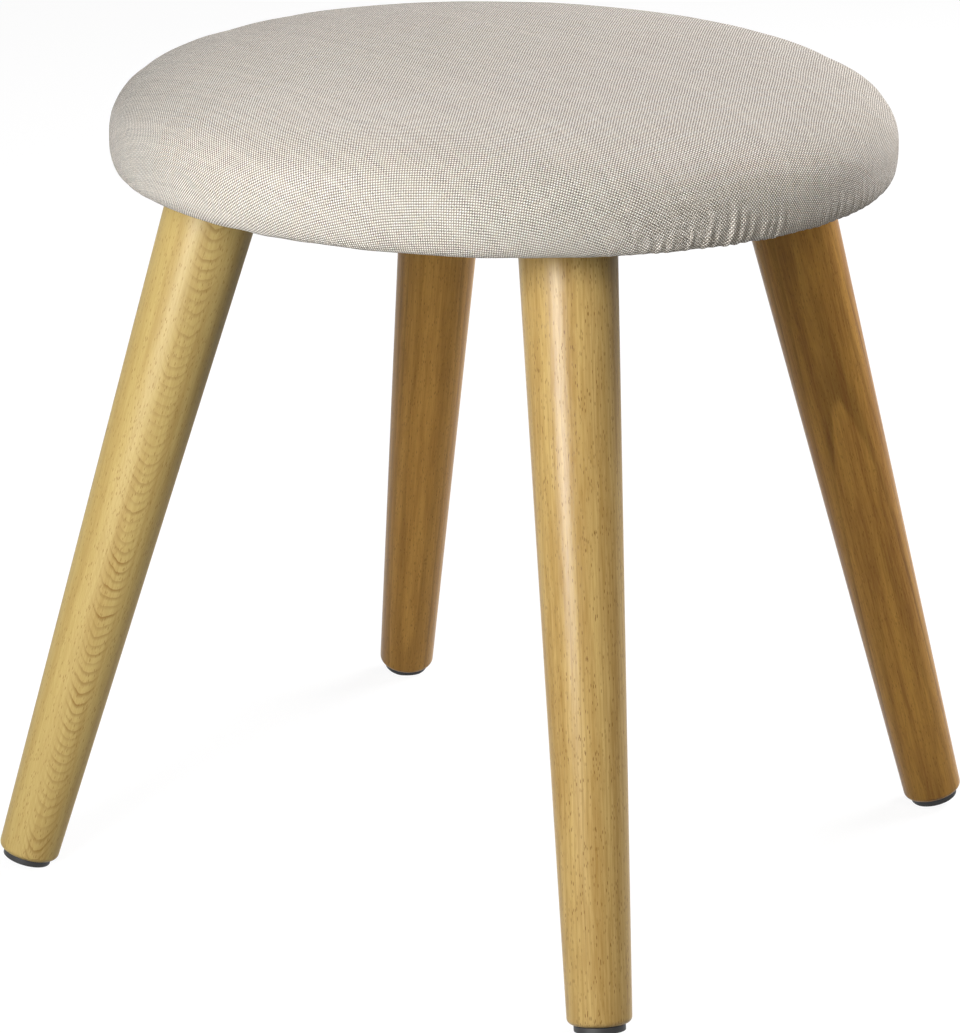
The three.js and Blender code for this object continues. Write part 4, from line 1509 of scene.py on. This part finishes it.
def screw_shape():
    """Tip, ridged shank, domed head, and the cross cut into it."""
    dome = SCREW_HEAD_HEIGHT - SCREW_EDGE
    top_of_point = SCREW_TIP - SCREW_POINT
    outline = [(0, SCREW_TIP), (SCREW_ROOT, top_of_point)]
    crest, root = RIDGE_SHARES
    for turn in range(int((top_of_point - SCREW_SEAT) / SCREW_PITCH)):
        height = top_of_point - turn * SCREW_PITCH
        outline += [(SCREW_SHANK, height - SCREW_PITCH * crest),
                    (SCREW_ROOT, height - SCREW_PITCH * root)]
    outline += [(SCREW_ROOT, SCREW_SEAT), (SCREW_HEAD - SCREW_BEVEL, SCREW_SEAT),
                (SCREW_HEAD, SCREW_SEAT - SCREW_BEVEL)]
    for step in range(DOME_STEPS + 1):
        angle = math.pi / 2 * step / DOME_STEPS
        drop = SCREW_EDGE + dome * math.sin(angle)
        outline.append((SCREW_HEAD * math.cos(angle), SCREW_SEAT - drop))
    span, width, depth = RECESS
    low = SCREW_SEAT - SCREW_HEAD_HEIGHT - RECESS_REACH
    high = SCREW_SEAT - SCREW_HEAD_HEIGHT + depth
    bars = [block((-long / 2, -wide / 2, low), (long / 2, wide / 2, high))
            for long, wide in ((span, width), (width, span))]
    return joined(spun(outline, SCREW_STEPS), bars)


screw = screw_shape()
for corner in CORNERS:
    turn = corner_turn(corner)
    for number, place in enumerate(SCREW_PLACES, start=1):
        driven = Matrix.Rotation(draw.uniform(0, math.pi / 2), 4, "Z")
        shape = moved(screw.copy(), turn @ Matrix.Translation((*place, 0)) @ driven)
        keep(f"pan_head_screw_{corner}_{number}", shape, steel,
             f"plate_screw_{corner}_{number}")
screw.free()

# %% [markdown]
# ## Nails in the feet
# Each glide hangs on one nail with a flat head, sunk in a pocket so that it never touches the
# floor. The shank goes up the middle of the leg.

# %% Set the nails
NAIL_HEAD = 3.5 * MM
NAIL_HEAD_LOW = -343.2 * MM
NAIL_HEAD_TOP = -342 * MM
NAIL_ROUNDING = 0.3 * MM
NAIL_SHANK = 1 * MM
NAIL_TIP = -328 * MM
NAIL_POINT = 2 * MM
NAIL_STEPS, NAIL_EDGE_STEPS = 32, 4


def nail_shape():
    centre = (NAIL_HEAD - NAIL_ROUNDING, NAIL_HEAD_LOW + NAIL_ROUNDING)
    low = arc(centre, NAIL_ROUNDING, -90, 0, NAIL_EDGE_STEPS)
    outline = [(0, NAIL_HEAD_LOW), *low, (NAIL_HEAD, NAIL_HEAD_TOP), (NAIL_SHANK, NAIL_HEAD_TOP),
               (NAIL_SHANK, NAIL_TIP - NAIL_POINT), (0, NAIL_TIP)]
    return spun(outline, NAIL_STEPS)


for corner in CORNERS:
    shape = moved(nail_shape(), leg_frames[corner])
    keep("flat_nail_" + corner, shape, steel, "glide_nail_" + corner)

# %% [markdown]
# ## Staples
# Sixteen staples go through the dust cover and the turned-in cloth into the board. A staple is a
# flat wire bent square, so its outline is drawn once, given the wire's width and softened along
# its edges.

# %% Shoot the staples
STAPLE_COUNT = 16
STAPLE_RING = 168.61 * MM
STAPLE_LOW = 340.2 * MM
STAPLE_HEIGHT = 8 * MM
STAPLE_HALF = 5 * MM
WIRE_WIDTH = 1.2 * MM
WIRE_THICKNESS = 0.6 * MM
WIRE_EDGE = 0.15 * MM
WIRE_SEGMENTS = 2


def staple_shape():
    inner = STAPLE_HALF - WIRE_THICKNESS
    top = STAPLE_LOW + STAPLE_HEIGHT
    bar_top = STAPLE_LOW + WIRE_THICKNESS
    outline = [(-STAPLE_HALF, STAPLE_LOW), (STAPLE_HALF, STAPLE_LOW), (STAPLE_HALF, top), (inner, top),
               (inner, bar_top), (-inner, bar_top), (-inner, top), (-STAPLE_HALF, top)]
    shape = bmesh.new()
    near = STAPLE_RING - WIRE_WIDTH / 2
    side = shape.faces.new([shape.verts.new((near, y, z)) for y, z in outline])
    grown = bmesh.ops.extrude_face_region(shape, geom=[side])["geom"]
    bmesh.ops.translate(shape, verts=only(bmesh.types.BMVert, grown), vec=(WIRE_WIDTH, 0, 0))
    facing_out(shape)
    soften(shape, shape.edges[:], WIRE_EDGE, WIRE_SEGMENTS)
    return shape


for number in range(1, STAPLE_COUNT + 1):
    turn = Matrix.Rotation(FULL_TURN * (number - 0.5) / STAPLE_COUNT, 4, "Z")
    keep(f"wire_staple_{number:02d}", moved(staple_shape(), turn), steel,
         f"dust_cover_staple_{number:02d}")
